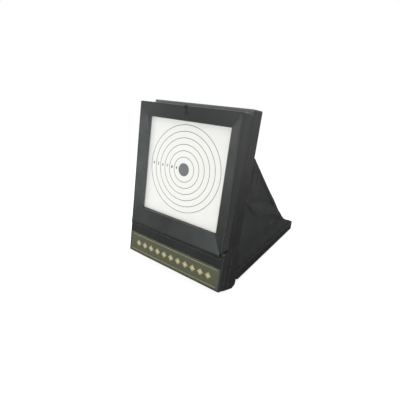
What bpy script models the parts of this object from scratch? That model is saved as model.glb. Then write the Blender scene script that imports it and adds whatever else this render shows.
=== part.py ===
"""Folding target holder: a leaning frame with a drop-down front door, a paper
target behind the door's window, a cloth catch bag and a base tray that folds
up against the back. Metres, +Z up, front faces -Y, origin at bottom centre."""

import math

import bmesh
import bpy
from mathutils import Matrix, Vector

MM = 0.001

# Driving sizes in millimetres. Panel coordinates: x to the right, d backwards
# from the paper's front face, v up the panel from the centre of the rings.
CLEARANCE = 0.3
WALL = 2.5
LEAN_DEG = 10.4

PAPER_SIDE = 140.0
PAPER_THICKNESS = 0.3
PAPER_CENTRE_V = -3.5

WINDOW_LAP_X = 3.0
WINDOW_LAP_V = 3.5
REAR_WINDOW_INSET = 2.5

DOOR_RIM_X = 14.5
DOOR_RIM_TOP = 19.0
DOOR_RIM_BOTTOM = 28.2
DOOR_STANDOFF = 9.4
DOOR_DEPTH = 15.0
DOOR_CORNER_RADIUS = 1.8
DOOR_EDGE_ROUND = 1.4
BEVEL_LIP = 1.8
BEVEL_DEPTH = 3.2
INNER_CORNER_RADIUS = 0.8
DOOR_HINGE_ROUND = 5.5
DOOR_LUG_LENGTH = 9.0
DOOR_PIN_RADIUS = 1.0
TONGUE_SETBACK = 4.9
TONGUE_WIDTH = 8.5
TONGUE_LENGTH = 27.0
SLIT_WIDTH = 0.9
NOTCH_WIDTH = 6.0
NOTCH_HEIGHT = 9.0
NOTCH_DEPTH = 1.2

COVER_PROUD_X = 2.8
COVER_HEIGHT = 46.3
COVER_SETBACK = 3.0
COVER_EDGE_ROUND = 1.2
EAR_WIDTH = 5.3
EAR_ROUND = 2.5
LABEL_MARGIN_TOP = 14.0
LABEL_MARGIN_BOTTOM = 2.2
LABEL_MARGIN_X = 2.7
LABEL_THICKNESS = 0.4
LABEL_RECESS = 0.8

SEAT_MARGIN_X = 4.0
SEAT_MARGIN_TOP = 9.5
SEAT_MARGIN_BOTTOM = 12.5
CHASSIS_DEPTH = 11.1
CHASSIS_RECESS = 1.3
CHASSIS_LIP_RECESS = 0.5
CHASSIS_LIP_DEPTH = 3.4
SHOULDER_RISE = 20.0
SHOULDER_DROP = 4.0

REAR_INSET_X = 1.5
REAR_PROUD_TOP = 5.0
REAR_CORNER_RADIUS = 2.4
REAR_EDGE_ROUND = 1.2
REAR_DEPTH = 23.7
FOOT_DROP = 9.2
FOOT_SETBACK = 14.7
BLOCK_INSET_X = 6.4
BLOCK_DEPTH = 13.0
BLOCK_HEEL_RISE = 10.0
BLOCK_BACK_HEIGHT = 22.0
BLOCK_SHOULDER_HEIGHT = 14.0

FOLD_AXIS_INSET = 7.0
FOLD_AXIS_RISE = 8.0
FOLD_PIN_RADIUS = 2.0
FOLD_HEAD_RADIUS = 3.6
FOLD_HEAD_THICKNESS = 1.0
FOLD_BOSS_RADIUS = 5.0
FOLD_BOSS_LENGTH = 7.5

TRAY_GAP_X = 1.4
TRAY_WALL = 2.6
TRAY_FLOOR_THICKNESS = 2.2
TRAY_FLOOR_DROP = 7.5
TRAY_WALL_TOP = 6.5
TRAY_LENGTH = 204.4
TRAY_FLOOR_START = 7.0

SCREW_SHANK_RADIUS = 1.1
SCREW_HEAD_RADIUS = 2.6
SCREW_HEAD_HEIGHT = 1.8
SCREW_BOSS_RADIUS = 3.2
FRAME_SCREW_INSET_X = 9.2
FRAME_SCREW_INSET_TOP = 7.5
FRAME_SCREW_INSET_BOTTOM = 10.0
FRAME_SCREW_ROWS = 4
COVER_SCREW_INSET_X = 24.3
COVER_SCREW_INSET_TOP = 9.5
COVER_SCREW_INSET_BOTTOM = 8.8

CLOTH = 0.8
BAG_EDGE_DROP = 57.0
BAG_EDGE_PROUD = 3.0
BAG_MIDDLE_SHARE = 0.667
BAG_MIDDLE_RISE = 47.3
BAG_SAG_SHARE = 0.833
BAG_SAG_RISE = 17.3
FOLD_DEPTH = 2.5
BILLOW = 3.0
SPREAD_START = 11.0
BAG_CORNER_S = 9.0
STRIP_THICKNESS = 1.5
STRIP_WIDTH = 8.0
TOP_STRIP_DROP = 21.0
TOP_STRIP_INSET = 16.0
SIDE_STRIP_INSET = 11.0
SIDE_STRIP_DROP = 6.0
SIDE_STRIP_RISE = 10.5
TRAY_STRIP_START = 30.0
STRAP_THICKNESS = 1.0
STRAP_WIDTH = 10.0
STRAP_ANCHOR_RISE = 52.5
RIVET_RADIUS = 2.5
RIVET_HEIGHT = 1.2

# Places that follow from the driving sizes.
PAPER_TOP_V = PAPER_CENTRE_V + PAPER_SIDE / 2
PAPER_BOTTOM_V = PAPER_CENTRE_V - PAPER_SIDE / 2
WINDOW_HALF_WIDTH = PAPER_SIDE / 2 - WINDOW_LAP_X
WINDOW_TOP_V = PAPER_TOP_V - WINDOW_LAP_V
WINDOW_BOTTOM_V = PAPER_BOTTOM_V + WINDOW_LAP_V
DOOR_HALF_WIDTH = WINDOW_HALF_WIDTH + DOOR_RIM_X
DOOR_TOP_V = WINDOW_TOP_V + DOOR_RIM_TOP
DOOR_BOTTOM_V = WINDOW_BOTTOM_V - DOOR_RIM_BOTTOM
DOOR_FACE_D = -DOOR_STANDOFF
DOOR_BACK_D = DOOR_FACE_D + DOOR_DEPTH
WINDOW_RIM_D = DOOR_FACE_D + BEVEL_DEPTH
DOOR_AXIS_D = DOOR_FACE_D + DOOR_HINGE_ROUND
DOOR_AXIS_V = DOOR_BOTTOM_V + DOOR_HINGE_ROUND
TONGUE_FRONT_D = DOOR_FACE_D + TONGUE_SETBACK
SEAM_V = DOOR_BOTTOM_V - CLEARANCE
COVER_HALF_WIDTH = DOOR_HALF_WIDTH + COVER_PROUD_X
COVER_BOTTOM_V = SEAM_V - COVER_HEIGHT
COVER_FACE_D = DOOR_FACE_D + COVER_SETBACK
LOWER_HALF_WIDTH = COVER_HALF_WIDTH - CLEARANCE
EAR_INNER_X = COVER_HALF_WIDTH - EAR_WIDTH
EAR_TOP_V = DOOR_AXIS_V + EAR_ROUND
LABEL_HALF_WIDTH = COVER_HALF_WIDTH - LABEL_MARGIN_X
LABEL_TOP_V = SEAM_V - LABEL_MARGIN_TOP
LABEL_BOTTOM_V = COVER_BOTTOM_V + LABEL_MARGIN_BOTTOM
SEAT_D = PAPER_THICKNESS + CLEARANCE
SEAT_HALF_WIDTH = PAPER_SIDE / 2 + SEAT_MARGIN_X
SEAT_TOP_V = PAPER_TOP_V + SEAT_MARGIN_TOP
SEAT_BOTTOM_V = PAPER_BOTTOM_V - SEAT_MARGIN_BOTTOM
CHASSIS_HALF_WIDTH = DOOR_HALF_WIDTH - CHASSIS_RECESS
CHASSIS_TOP_V = DOOR_TOP_V - CHASSIS_RECESS
CHASSIS_D = DOOR_BACK_D + CLEARANCE
CHASSIS_BACK_D = CHASSIS_D + CHASSIS_DEPTH
REAR_HALF_WIDTH = DOOR_HALF_WIDTH - REAR_INSET_X
REAR_TOP_V = DOOR_TOP_V + REAR_PROUD_TOP
REAR_D = CHASSIS_BACK_D + CLEARANCE
REAR_BACK_D = REAR_D + REAR_DEPTH
FLANGE_BACK_D = REAR_D + WALL
REAR_WINDOW_X = WINDOW_HALF_WIDTH - REAR_WINDOW_INSET
REAR_WINDOW_TOP = WINDOW_TOP_V - REAR_WINDOW_INSET
REAR_WINDOW_BOTTOM = WINDOW_BOTTOM_V + REAR_WINDOW_INSET
TRAY_INNER_X = REAR_HALF_WIDTH + TRAY_GAP_X
TRAY_HALF_WIDTH = TRAY_INNER_X + TRAY_WALL
TRAY_BOTTOM_H = -TRAY_FLOOR_DROP - TRAY_FLOOR_THICKNESS
FOOT_V = COVER_BOTTOM_V - FOOT_DROP
FOOT_D = REAR_D + FOOT_SETBACK
BLOCK_HALF_WIDTH = TRAY_INNER_X - BLOCK_INSET_X
BLOCK_BACK_D = REAR_BACK_D + BLOCK_DEPTH
BLOCK_HEEL_V = FOOT_V + BLOCK_HEEL_RISE
BLOCK_SHOULDER_V = BLOCK_HEEL_V + BLOCK_BACK_HEIGHT
BLOCK_TOP_V = BLOCK_SHOULDER_V + BLOCK_SHOULDER_HEIGHT
FOLD_AXIS_D = BLOCK_BACK_D - FOLD_AXIS_INSET
FOLD_AXIS_V = BLOCK_HEEL_V + FOLD_AXIS_RISE
FOLD_BOSS_FACE_X = TRAY_INNER_X - CLEARANCE
CHEEK_BACK_D = FOLD_AXIS_D - TRAY_WALL_TOP - 2 * CLEARANCE
ARM_SWEEP_RADIUS = 2 * CLEARANCE - TRAY_BOTTOM_H
BACK_PANEL_X = REAR_HALF_WIDTH - WALL - 2 * CLEARANCE - 2 * CLOTH
BAG_EDGE_V = REAR_TOP_V - BAG_EDGE_DROP
TOP_STRIP_V = REAR_TOP_V - TOP_STRIP_DROP
TOP_STRIP_HALF_LENGTH = REAR_HALF_WIDTH - TOP_STRIP_INSET
SIDE_STRIP_D = REAR_BACK_D - SIDE_STRIP_INSET
SIDE_STRIP_TOP_V = BAG_EDGE_V - SIDE_STRIP_DROP
SIDE_STRIP_BOTTOM_V = SEAM_V + SIDE_STRIP_RISE
STRAP_ANCHOR_V = SEAM_V + STRAP_ANCHOR_RISE

LEAN = math.radians(LEAN_DEG)
COS = math.cos(LEAN)
SIN = math.sin(LEAN)


def bottom_v(d):
    """Height of the sloping underside of the bar and foot at depth d."""
    slope = (FOOT_V - COVER_BOTTOM_V) / (FOOT_D - COVER_FACE_D)
    return COVER_BOTTOM_V + slope * (d - COVER_FACE_D)


PANEL_Z = -FOOT_V * COS + FOOT_D * SIN
AXIS_Y = FOLD_AXIS_V * SIN + FOLD_AXIS_D * COS
AXIS_Z = PANEL_Z + FOLD_AXIS_V * COS - FOLD_AXIS_D * SIN
TRAY_REACH = math.hypot(TRAY_LENGTH, TRAY_BOTTOM_H)
TRAY_TILT = math.asin(AXIS_Z / TRAY_REACH) - math.atan2(-TRAY_BOTTOM_H, TRAY_LENGTH)
FRONT_Y = COVER_BOTTOM_V * SIN + COVER_FACE_D * COS
BACK_Y = AXIS_Y + TRAY_LENGTH * math.cos(TRAY_TILT) + TRAY_WALL_TOP * math.sin(TRAY_TILT)
PANEL_Y = -(FRONT_Y + BACK_Y) / 2


def clear_scene():
    for obj in list(bpy.data.objects):
        bpy.data.objects.remove(obj, do_unlink=True)


def plastic(name, color, roughness=0.45, metallic=0.0):
    material = bpy.data.materials.new(name)
    material.use_nodes = True
    shader = material.node_tree.nodes["Principled BSDF"]
    shader.inputs["Base Color"].default_value = (*color, 1.0)
    shader.inputs["Roughness"].default_value = roughness
    shader.inputs["Metallic"].default_value = metallic
    return material


def empty(name, location, tilt):
    obj = bpy.data.objects.new(name, None)
    obj.location = Vector(location) * MM
    obj.rotation_euler = (tilt, 0.0, 0.0)
    bpy.context.collection.objects.link(obj)
    return obj


def mesh_object(name, bm, parent=None, material=None):
    """Turn a bmesh in millimetres into an object in metres."""
    bmesh.ops.recalc_face_normals(bm, faces=bm.faces)
    bmesh.ops.scale(bm, vec=(MM, MM, MM), verts=bm.verts)
    mesh = bpy.data.meshes.new(name)
    bm.to_mesh(mesh)
    bm.free()
    mesh.shade_smooth()
    mesh.set_sharp_from_angle(angle=math.radians(30))
    obj = bpy.data.objects.new(name, mesh)
    bpy.context.collection.objects.link(obj)
    obj.parent = parent
    if material:
        mesh.materials.append(material)
    return obj


def add_loft(bm, sections):
    """Skin a list of closed rings of points and cap both ends. The points are
    rounded, so that faces meant to be flush are exactly so."""
    rings = [[bm.verts.new([round(c, 5) for c in point]) for point in ring] for ring in sections]
    for lower, upper in zip(rings, rings[1:]):
        for i in range(len(lower)):
            j = (i + 1) % len(lower)
            bm.faces.new((lower[i], lower[j], upper[j], upper[i]))
    bm.faces.new(list(reversed(rings[0])))
    bm.faces.new(rings[-1])


def loft(name, sections, parent=None, material=None):
    bm = bmesh.new()
    add_loft(bm, sections)
    return mesh_object(name, bm, parent, material)


def rounded_rect(half_width, bottom, top, radius, lower_radius=None, steps=5):
    """Outline (x, v) of a rectangle with round corners, counter-clockwise."""
    lower = radius if lower_radius is None else lower_radius
    corners = (
        (half_width - lower, bottom + lower, lower, -90),
        (half_width - radius, top - radius, radius, 0),
        (radius - half_width, top - radius, radius, 90),
        (lower - half_width, bottom + lower, lower, 180),
    )
    outline = []
    for cx, cv, r, start in corners:
        for i in range(steps + 1):
            a = math.radians(start + 90 * i / steps)
            outline.append((cx + r * math.cos(a), cv + r * math.sin(a)))
    return outline


def at_depth(outline, d):
    return [(x, d, v) for x, v in outline]


def plate(name, half_width, bottom, top, front, back, radius=0.5, parent=None, material=None,
          lower_radius=None):
    outline = rounded_rect(half_width, bottom, top, radius, lower_radius, steps=3)
    return loft(name, [at_depth(outline, front), at_depth(outline, back)], parent, material)


def eased_block(name, half_width, bottom, top, front, back, radii, ease, parent, material):
    """A block whose front and back rims are rounded by the given eases."""
    front_ease, back_ease = ease
    upper, lower = radii
    stations = []
    for i in range(4):
        a = math.radians(30 * i)
        stations.append((front + front_ease * (1 - math.sin(a)), front_ease * (1 - math.cos(a))))
    stations.reverse()
    sections = []
    for d, inset in stations:
        sections.append((d, inset))
    sections.append((back - back_ease, 0.0))
    sections.append((back, back_ease))
    rings = []
    for d, inset in sorted(sections):
        base = bottom(d) if callable(bottom) else bottom
        outline = rounded_rect(half_width - inset, base + inset, top - inset,
                               max(upper - inset, 0.2), max(lower - inset, 0.2))
        rings.append(at_depth(outline, d))
    return loft(name, rings, parent, material)


def side_prism(name, profile, x0, x1, parent=None, material=None):
    """Extrude a (d, v) profile along x."""
    rings = [[(x, d, v) for d, v in profile] for x in (x0, x1)]
    return loft(name, rings, parent, material)


def arc(cd, cv, radius, start, end, steps=8):
    points = []
    for i in range(steps + 1):
        a = math.radians(start + (end - start) * i / steps)
        points.append((cd + radius * math.cos(a), cv + radius * math.sin(a)))
    return points


def add_cylinder(bm, start, end, radius, sides=16):
    """Add a cylinder between two points to a bmesh."""
    start, end = Vector(start), Vector(end)
    along = (end - start).normalized()
    turn = along.to_track_quat("Z", "Y").to_matrix()
    rings = []
    for centre in (start, end):
        ring = []
        for i in range(sides):
            a = 2 * math.pi * i / sides
            ring.append(centre + turn @ Vector((radius * math.cos(a), radius * math.sin(a), 0)))
        rings.append(ring)
    add_loft(bm, rings)


def cylinders(name, runs, parent=None, material=None):
    """One object of separate cylinders, each given as (start, end, radius)."""
    bm = bmesh.new()
    for start, end, radius in runs:
        add_cylinder(bm, start, end, radius)
    return mesh_object(name, bm, parent, material)


def boolean(obj, tool, operation):
    modifier = obj.modifiers.new(tool.name, "BOOLEAN")
    modifier.operation = operation
    modifier.solver = "EXACT"
    modifier.object = tool
    tool.parent = obj.parent
    tool.hide_render = True
    tool.display_type = "WIRE"


def cut(obj, *tools):
    for tool in tools:
        boolean(obj, tool, "DIFFERENCE")


def join(obj, *tools):
    for tool in tools:
        boolean(obj, tool, "UNION")


def window_cutter(name):
    """The door's window: bars that slope from their outer lips down to a straight hole."""
    outer = (DOOR_HALF_WIDTH - BEVEL_LIP, DOOR_AXIS_V, DOOR_TOP_V - BEVEL_LIP)
    inner = (WINDOW_HALF_WIDTH, WINDOW_BOTTOM_V, WINDOW_TOP_V)
    ahead = 1.0
    rings = []
    for d, share in ((DOOR_FACE_D - ahead, 1 + ahead / BEVEL_DEPTH), (WINDOW_RIM_D, 0.0), (DOOR_BACK_D, 0.0)):
        sides = [near + (far - near) * share for near, far in zip(inner, outer)]
        rings.append(at_depth(rounded_rect(*sides, INNER_CORNER_RADIUS, steps=3), d))
    return loft(name, rings)


def build_door(parent, material):
    door = eased_block("door_bezel", DOOR_HALF_WIDTH, DOOR_BOTTOM_V, DOOR_TOP_V, DOOR_FACE_D,
                       DOOR_BACK_D, (DOOR_CORNER_RADIUS, 1.5), (DOOR_EDGE_ROUND, 0.5), parent, material)
    bar_top = DOOR_AXIS_V - CLEARANCE
    cut(door, plate("door_cavity", DOOR_HALF_WIDTH - WALL, bar_top, DOOR_TOP_V - WALL,
                    WINDOW_RIM_D + WALL, DOOR_BACK_D + 5, INNER_CORNER_RADIUS))
    join(door, plate("window_wall", WINDOW_HALF_WIDTH + WALL, WINDOW_BOTTOM_V - WALL, WINDOW_TOP_V + WALL,
                     WINDOW_RIM_D + WALL / 2, -CLEARANCE, INNER_CORNER_RADIUS))
    lug_top = EAR_TOP_V + 2 * CLEARANCE
    for side in (-1, 1):
        lug = plate("door_lug", DOOR_LUG_LENGTH / 2, DOOR_BOTTOM_V + WALL / 2, lug_top,
                    DOOR_FACE_D + WALL / 2, DOOR_AXIS_D + DOOR_HINGE_ROUND)
        lug.data.transform(Matrix.Translation((side * (EAR_INNER_X - DOOR_LUG_LENGTH / 2) * MM, 0, 0)))
        join(door, lug)
    cut(door, window_cutter("door_window"))
    corner = [(DOOR_FACE_D - 2, DOOR_BOTTOM_V - 2), (DOOR_FACE_D - 2, DOOR_AXIS_V)]
    corner += arc(DOOR_AXIS_D, DOOR_AXIS_V, DOOR_HINGE_ROUND, 180, 360, 16)
    corner += [(DOOR_BACK_D + 2, DOOR_AXIS_V), (DOOR_BACK_D + 2, DOOR_BOTTOM_V - 2)]
    cut(door, side_prism("hinge_round", corner, -DOOR_HALF_WIDTH - 5, DOOR_HALF_WIDTH + 5))
    relief_x = EAR_INNER_X - CLEARANCE
    for side in (-1, 1):
        relief = [(DOOR_FACE_D - 5, DOOR_BOTTOM_V - 5), (DOOR_BACK_D + 5, DOOR_BOTTOM_V - 5),
                  (DOOR_BACK_D + 5, lug_top), (DOOR_FACE_D - 5, lug_top)]
        cut(door, side_prism("ear_relief", relief, side * relief_x, side * (DOOR_HALF_WIDTH + 5)))
        axis = (DOOR_AXIS_D, DOOR_AXIS_V)
        cut(door, cylinders("pin_hole", [((side * (relief_x - DOOR_LUG_LENGTH + WALL), *axis),
                                          (side * (relief_x + 5), *axis), DOOR_PIN_RADIUS + CLEARANCE)]))
        for d in (TONGUE_FRONT_D - SLIT_WIDTH, TONGUE_FRONT_D + TONGUE_WIDTH):
            slit = [(d, lug_top + 1), (d + SLIT_WIDTH, lug_top + 1),
                    (d + SLIT_WIDTH, lug_top + TONGUE_LENGTH), (d, lug_top + TONGUE_LENGTH)]
            cut(door, side_prism("tongue_slit", slit, side * (DOOR_HALF_WIDTH - WALL - 1),
                                 side * (DOOR_HALF_WIDTH + 1)))
    cut(door, plate("finger_notch", NOTCH_WIDTH / 2, DOOR_TOP_V - NOTCH_HEIGHT, DOOR_TOP_V + 5,
                    DOOR_FACE_D - 5, DOOR_FACE_D + NOTCH_DEPTH, 1.0))
    return door


def build_lower_cover(parent, material):
    cover = eased_block("lower_front_cover", COVER_HALF_WIDTH, bottom_v, SEAM_V, COVER_FACE_D,
                        DOOR_BACK_D, (1.2, 1.5), (COVER_EDGE_ROUND, 0.5), parent, material)
    cut(cover, plate("cover_cavity", COVER_HALF_WIDTH - WALL, COVER_BOTTOM_V + WALL, SEAM_V - WALL,
                     COVER_FACE_D + LABEL_RECESS + WALL, DOOR_BACK_D + 5, 1.0))
    ear = arc(DOOR_AXIS_D, DOOR_AXIS_V, EAR_ROUND, 180, 90)
    ear += [(DOOR_BACK_D, EAR_TOP_V), (DOOR_BACK_D, SEAM_V - WALL / 2), (COVER_FACE_D, SEAM_V - WALL / 2)]
    for side in (-1, 1):
        join(cover, side_prism("ear", ear, side * EAR_INNER_X, side * COVER_HALF_WIDTH))
        axis = (DOOR_AXIS_D, DOOR_AXIS_V)
        cut(cover, cylinders("ear_hole", [((side * (EAR_INNER_X - 5), *axis),
                                           (side * (COVER_HALF_WIDTH - 1), *axis),
                                           DOOR_PIN_RADIUS + CLEARANCE)]))
    bosses = []
    holes = []
    for x, v in cover_screw_places():
        bosses.append(((x, COVER_FACE_D + WALL, v), (x, DOOR_BACK_D, v), SCREW_BOSS_RADIUS))
        holes.append(((x, COVER_FACE_D + 2 * WALL, v), (x, DOOR_BACK_D + 5, v),
                      SCREW_SHANK_RADIUS + CLEARANCE))
    join(cover, cylinders("cover_bosses", bosses))
    cut(cover, cylinders("cover_boss_holes", holes))
    cut(cover, plate("label_recess", LABEL_HALF_WIDTH + CLEARANCE, LABEL_BOTTOM_V - CLEARANCE,
                     LABEL_TOP_V + CLEARANCE, COVER_FACE_D - 5, COVER_FACE_D + LABEL_RECESS, 1.0))
    return cover


def shoulders(name, base, inner_x):
    """The blocks that widen a frame's lower part on both sides. The base is the
    (d, v) line along their underside; their tops slope outwards and down."""
    blocks = []
    for side in (-1, 1):
        rings = []
        for x, top in ((inner_x, SEAM_V + SHOULDER_RISE), (LOWER_HALF_WIDTH, SEAM_V - SHOULDER_DROP)):
            profile = [(base[0][0], top), *base, (base[-1][0], top)]
            rings.append([(side * x, d, v) for d, v in profile])
        blocks.append(loft(name, rings))
    return blocks


def frame_screw_places():
    x = CHASSIS_HALF_WIDTH - FRAME_SCREW_INSET_X
    top = CHASSIS_TOP_V - FRAME_SCREW_INSET_TOP
    bottom = WINDOW_BOTTOM_V - FRAME_SCREW_INSET_BOTTOM
    rows = [top + (bottom - top) * i / (FRAME_SCREW_ROWS - 1) for i in range(FRAME_SCREW_ROWS)]
    return [(side * x, v) for v in rows for side in (-1, 1)]


def cover_screw_places():
    x = COVER_HALF_WIDTH - COVER_SCREW_INSET_X
    rows = (SEAM_V - COVER_SCREW_INSET_TOP, COVER_BOTTOM_V + COVER_SCREW_INSET_BOTTOM)
    return [(side * x, v) for v in rows for side in (-1, 1)]


def build_main_frame(parent, material):
    lower_v = bottom_v(CHASSIS_D)
    frame = eased_block("main_frame", CHASSIS_HALF_WIDTH, bottom_v, CHASSIS_TOP_V, CHASSIS_D,
                        CHASSIS_BACK_D, (DOOR_CORNER_RADIUS, 1.0), (0.4, 0.4), parent, material)
    base = [(CHASSIS_D, lower_v), (CHASSIS_BACK_D, bottom_v(CHASSIS_BACK_D))]
    join(frame, *shoulders("frame_shoulder", base, CHASSIS_HALF_WIDTH - 1.5 * WALL))
    join(frame, plate("chassis_lip", DOOR_HALF_WIDTH - CHASSIS_LIP_RECESS, SEAM_V,
                      DOOR_TOP_V - CHASSIS_LIP_RECESS, CHASSIS_D, CHASSIS_D + CHASSIS_LIP_DEPTH,
                      DOOR_CORNER_RADIUS))
    cut(frame, plate("chassis_cavity", CHASSIS_HALF_WIDTH - WALL, lower_v + WALL, CHASSIS_TOP_V - WALL,
                     CHASSIS_D + WALL, CHASSIS_BACK_D + 5, 1.5))
    join(frame, plate("paper_seat", SEAT_HALF_WIDTH, SEAT_BOTTOM_V, SEAT_TOP_V, SEAT_D,
                      CHASSIS_D + WALL / 2, 2.0))
    cut(frame, plate("seat_relief", SEAT_HALF_WIDTH - WALL, SEAT_BOTTOM_V + WALL,
                     WINDOW_BOTTOM_V - 2 * WALL, SEAT_D + WALL, CHASSIS_D + WALL + 1, 1.0))
    cut(frame, plate("frame_window", REAR_WINDOW_X, REAR_WINDOW_BOTTOM, REAR_WINDOW_TOP,
                     SEAT_D - 5, CHASSIS_BACK_D + 5, 1.5))
    bosses = []
    holes = []
    for x, v in frame_screw_places():
        bosses.append(((x, CHASSIS_D + WALL / 2, v), (x, CHASSIS_BACK_D, v), SCREW_BOSS_RADIUS))
        holes.append(((x, CHASSIS_D + WALL, v), (x, CHASSIS_BACK_D + 5, v), SCREW_SHANK_RADIUS + CLEARANCE))
    for x, v in cover_screw_places():
        holes.append(((x, CHASSIS_D - 5, v), (x, CHASSIS_D + WALL + 5, v), SCREW_SHANK_RADIUS + CLEARANCE))
    join(frame, cylinders("frame_bosses", bosses))
    cut(frame, cylinders("frame_holes", holes))
    return frame


def heel_v(d):
    """Height of the foot's underside behind its sole edge, at depth d."""
    return FOOT_V + (BLOCK_HEEL_V - FOOT_V) * (d - FOOT_D) / (BLOCK_BACK_D - FOOT_D)


def block_profile(inset):
    """Side profile of the foot block, or of the hollow inside it."""
    front = REAR_D if inset == 0 else REAR_D - 5
    heel_slope = (BLOCK_HEEL_V - FOOT_V) / (BLOCK_BACK_D - FOOT_D)
    shoulder_slope = (BLOCK_SHOULDER_V - BLOCK_TOP_V) / (BLOCK_BACK_D - REAR_BACK_D)
    back = BLOCK_BACK_D - inset
    top = SEAM_V if inset == 0 else SEAM_V - 2 * inset
    break_d = REAR_BACK_D - inset + (BLOCK_TOP_V - top) / shoulder_slope * (1 if inset else 0)
    profile = [(front, bottom_v(front) + inset), (FOOT_D, FOOT_V + 1.2 * inset),
               (back, BLOCK_HEEL_V + inset - heel_slope * inset),
               (back, BLOCK_SHOULDER_V - shoulder_slope * inset * 0.5)]
    if inset == 0:
        profile += [(REAR_BACK_D, BLOCK_TOP_V), (REAR_BACK_D, SEAM_V), (front, SEAM_V)]
    else:
        profile += [(min(break_d, REAR_BACK_D - inset), top), (front, top)]
    return profile


def build_rear_frame(parent, material):
    frame = eased_block("rear_frame", REAR_HALF_WIDTH, SEAM_V - 4 * WALL, REAR_TOP_V, REAR_D,
                        REAR_BACK_D, (REAR_CORNER_RADIUS, 0.5), (REAR_EDGE_ROUND, 0.6), parent, material)
    sole = [(REAR_D, SEAM_V), (REAR_D, bottom_v(REAR_D)), (FOOT_D, FOOT_V), (REAR_BACK_D, heel_v(REAR_BACK_D)),
            (REAR_BACK_D, SEAM_V)]
    join(frame, side_prism("foot_sides", sole, -REAR_HALF_WIDTH, REAR_HALF_WIDTH))
    base = [(REAR_D, bottom_v(REAR_D)), (FOOT_D, FOOT_V), (CHEEK_BACK_D, heel_v(CHEEK_BACK_D))]
    join(frame, *shoulders("foot_shoulder", base, REAR_HALF_WIDTH - 1.5 * WALL))
    sweeps = [((side * (REAR_HALF_WIDTH + CLEARANCE), FOLD_AXIS_D, FOLD_AXIS_V),
               (side * (LOWER_HALF_WIDTH + 5), FOLD_AXIS_D, FOLD_AXIS_V), ARM_SWEEP_RADIUS) for side in (-1, 1)]
    cut(frame, cylinders("arm_sweeps", sweeps))
    join(frame, side_prism("foot_block", block_profile(0), -BLOCK_HALF_WIDTH, BLOCK_HALF_WIDTH))
    cut(frame, plate("rear_cavity", REAR_HALF_WIDTH - WALL, SEAM_V + WALL, REAR_TOP_V - WALL,
                     FLANGE_BACK_D, REAR_BACK_D + 5, INNER_CORNER_RADIUS))
    cut(frame, plate("rear_window", REAR_WINDOW_X, SEAT_BOTTOM_V, REAR_WINDOW_TOP, REAR_D - 5,
                     FLANGE_BACK_D + 5, 1.5))
    cut(frame, side_prism("block_hollow", block_profile(WALL), -BLOCK_HALF_WIDTH + WALL,
                          BLOCK_HALF_WIDTH - WALL))
    bosses = []
    holes = []
    for side in (-1, 1):
        inner = side * (BLOCK_HALF_WIDTH - FOLD_BOSS_LENGTH)
        bosses.append(((inner, FOLD_AXIS_D, FOLD_AXIS_V),
                       (side * FOLD_BOSS_FACE_X, FOLD_AXIS_D, FOLD_AXIS_V), FOLD_BOSS_RADIUS))
        holes.append(((inner + side * WALL, FOLD_AXIS_D, FOLD_AXIS_V),
                      (side * (FOLD_BOSS_FACE_X + 5), FOLD_AXIS_D, FOLD_AXIS_V),
                      FOLD_PIN_RADIUS + CLEARANCE))
    for x, v in frame_screw_places():
        holes.append(((x, REAR_D - 5, v), (x, FLANGE_BACK_D + 5, v), SCREW_SHANK_RADIUS + CLEARANCE))
    join(frame, cylinders("fold_bosses", bosses))
    cut(frame, cylinders("rear_holes", holes))
    return frame


def build_tray(parent, material):
    """The base tray in its own frame: x, s backwards from the axis, h up."""
    round_radius = (TRAY_WALL_TOP - TRAY_BOTTOM_H) / 2
    middle = (TRAY_WALL_TOP + TRAY_BOTTOM_H) / 2
    outline = [(TRAY_LENGTH, TRAY_BOTTOM_H), (TRAY_LENGTH, TRAY_WALL_TOP)]
    outline += arc(0.0, middle, round_radius, 90, 270)
    tray = side_prism("base_tray", outline, -TRAY_HALF_WIDTH, TRAY_HALF_WIDTH, parent, material)
    bevel = tray.modifiers.new("eased_edges", "BEVEL")
    bevel.width = 0.8 * MM
    bevel.segments = 2
    bevel.limit_method = "ANGLE"
    bevel.angle_limit = math.radians(40)
    hollow = [(-20.0, -TRAY_FLOOR_DROP), (TRAY_LENGTH - TRAY_WALL, -TRAY_FLOOR_DROP),
              (TRAY_LENGTH - TRAY_WALL, 20.0), (-20.0, 20.0)]
    cut(tray, side_prism("tray_hollow", hollow, -TRAY_INNER_X, TRAY_INNER_X))
    mouth = [(-20.0, -20.0), (TRAY_FLOOR_START, -20.0), (TRAY_FLOOR_START, 20.0), (-20.0, 20.0)]
    cut(tray, side_prism("tray_mouth", mouth, -TRAY_INNER_X, TRAY_INNER_X))
    holes = []
    for side in (-1, 1):
        outside = side * (TRAY_HALF_WIDTH + 5)
        seat = side * (TRAY_HALF_WIDTH - FOLD_HEAD_THICKNESS - CLEARANCE)
        holes.append(((side * (TRAY_INNER_X - 5), 0, 0), (outside, 0, 0), FOLD_PIN_RADIUS + CLEARANCE))
        holes.append(((seat, 0, 0), (outside, 0, 0), FOLD_HEAD_RADIUS + CLEARANCE))
    for i, hole in enumerate(holes):
        cut(tray, cylinders(f"tray_hole_{i}", [hole]))
    return tray


def build_screws(name, places, head_d, tip_d, parent, material):
    """Pan-head screws driven forwards, one object each."""
    sides = 12
    stations = ((head_d + SCREW_HEAD_HEIGHT, SCREW_HEAD_RADIUS * 0.7),
                (head_d + SCREW_HEAD_HEIGHT * 0.6, SCREW_HEAD_RADIUS),
                (head_d, SCREW_HEAD_RADIUS), (head_d, SCREW_SHANK_RADIUS), (tip_d, SCREW_SHANK_RADIUS))
    for number, (x, v) in enumerate(places, 1):
        rings = []
        for d, r in stations:
            turns = [2 * math.pi * i / sides for i in range(sides)]
            rings.append([(x + r * math.cos(a), d, v + r * math.sin(a)) for a in turns])
        loft(f"{name}_{number}", rings, parent, material)


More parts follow.
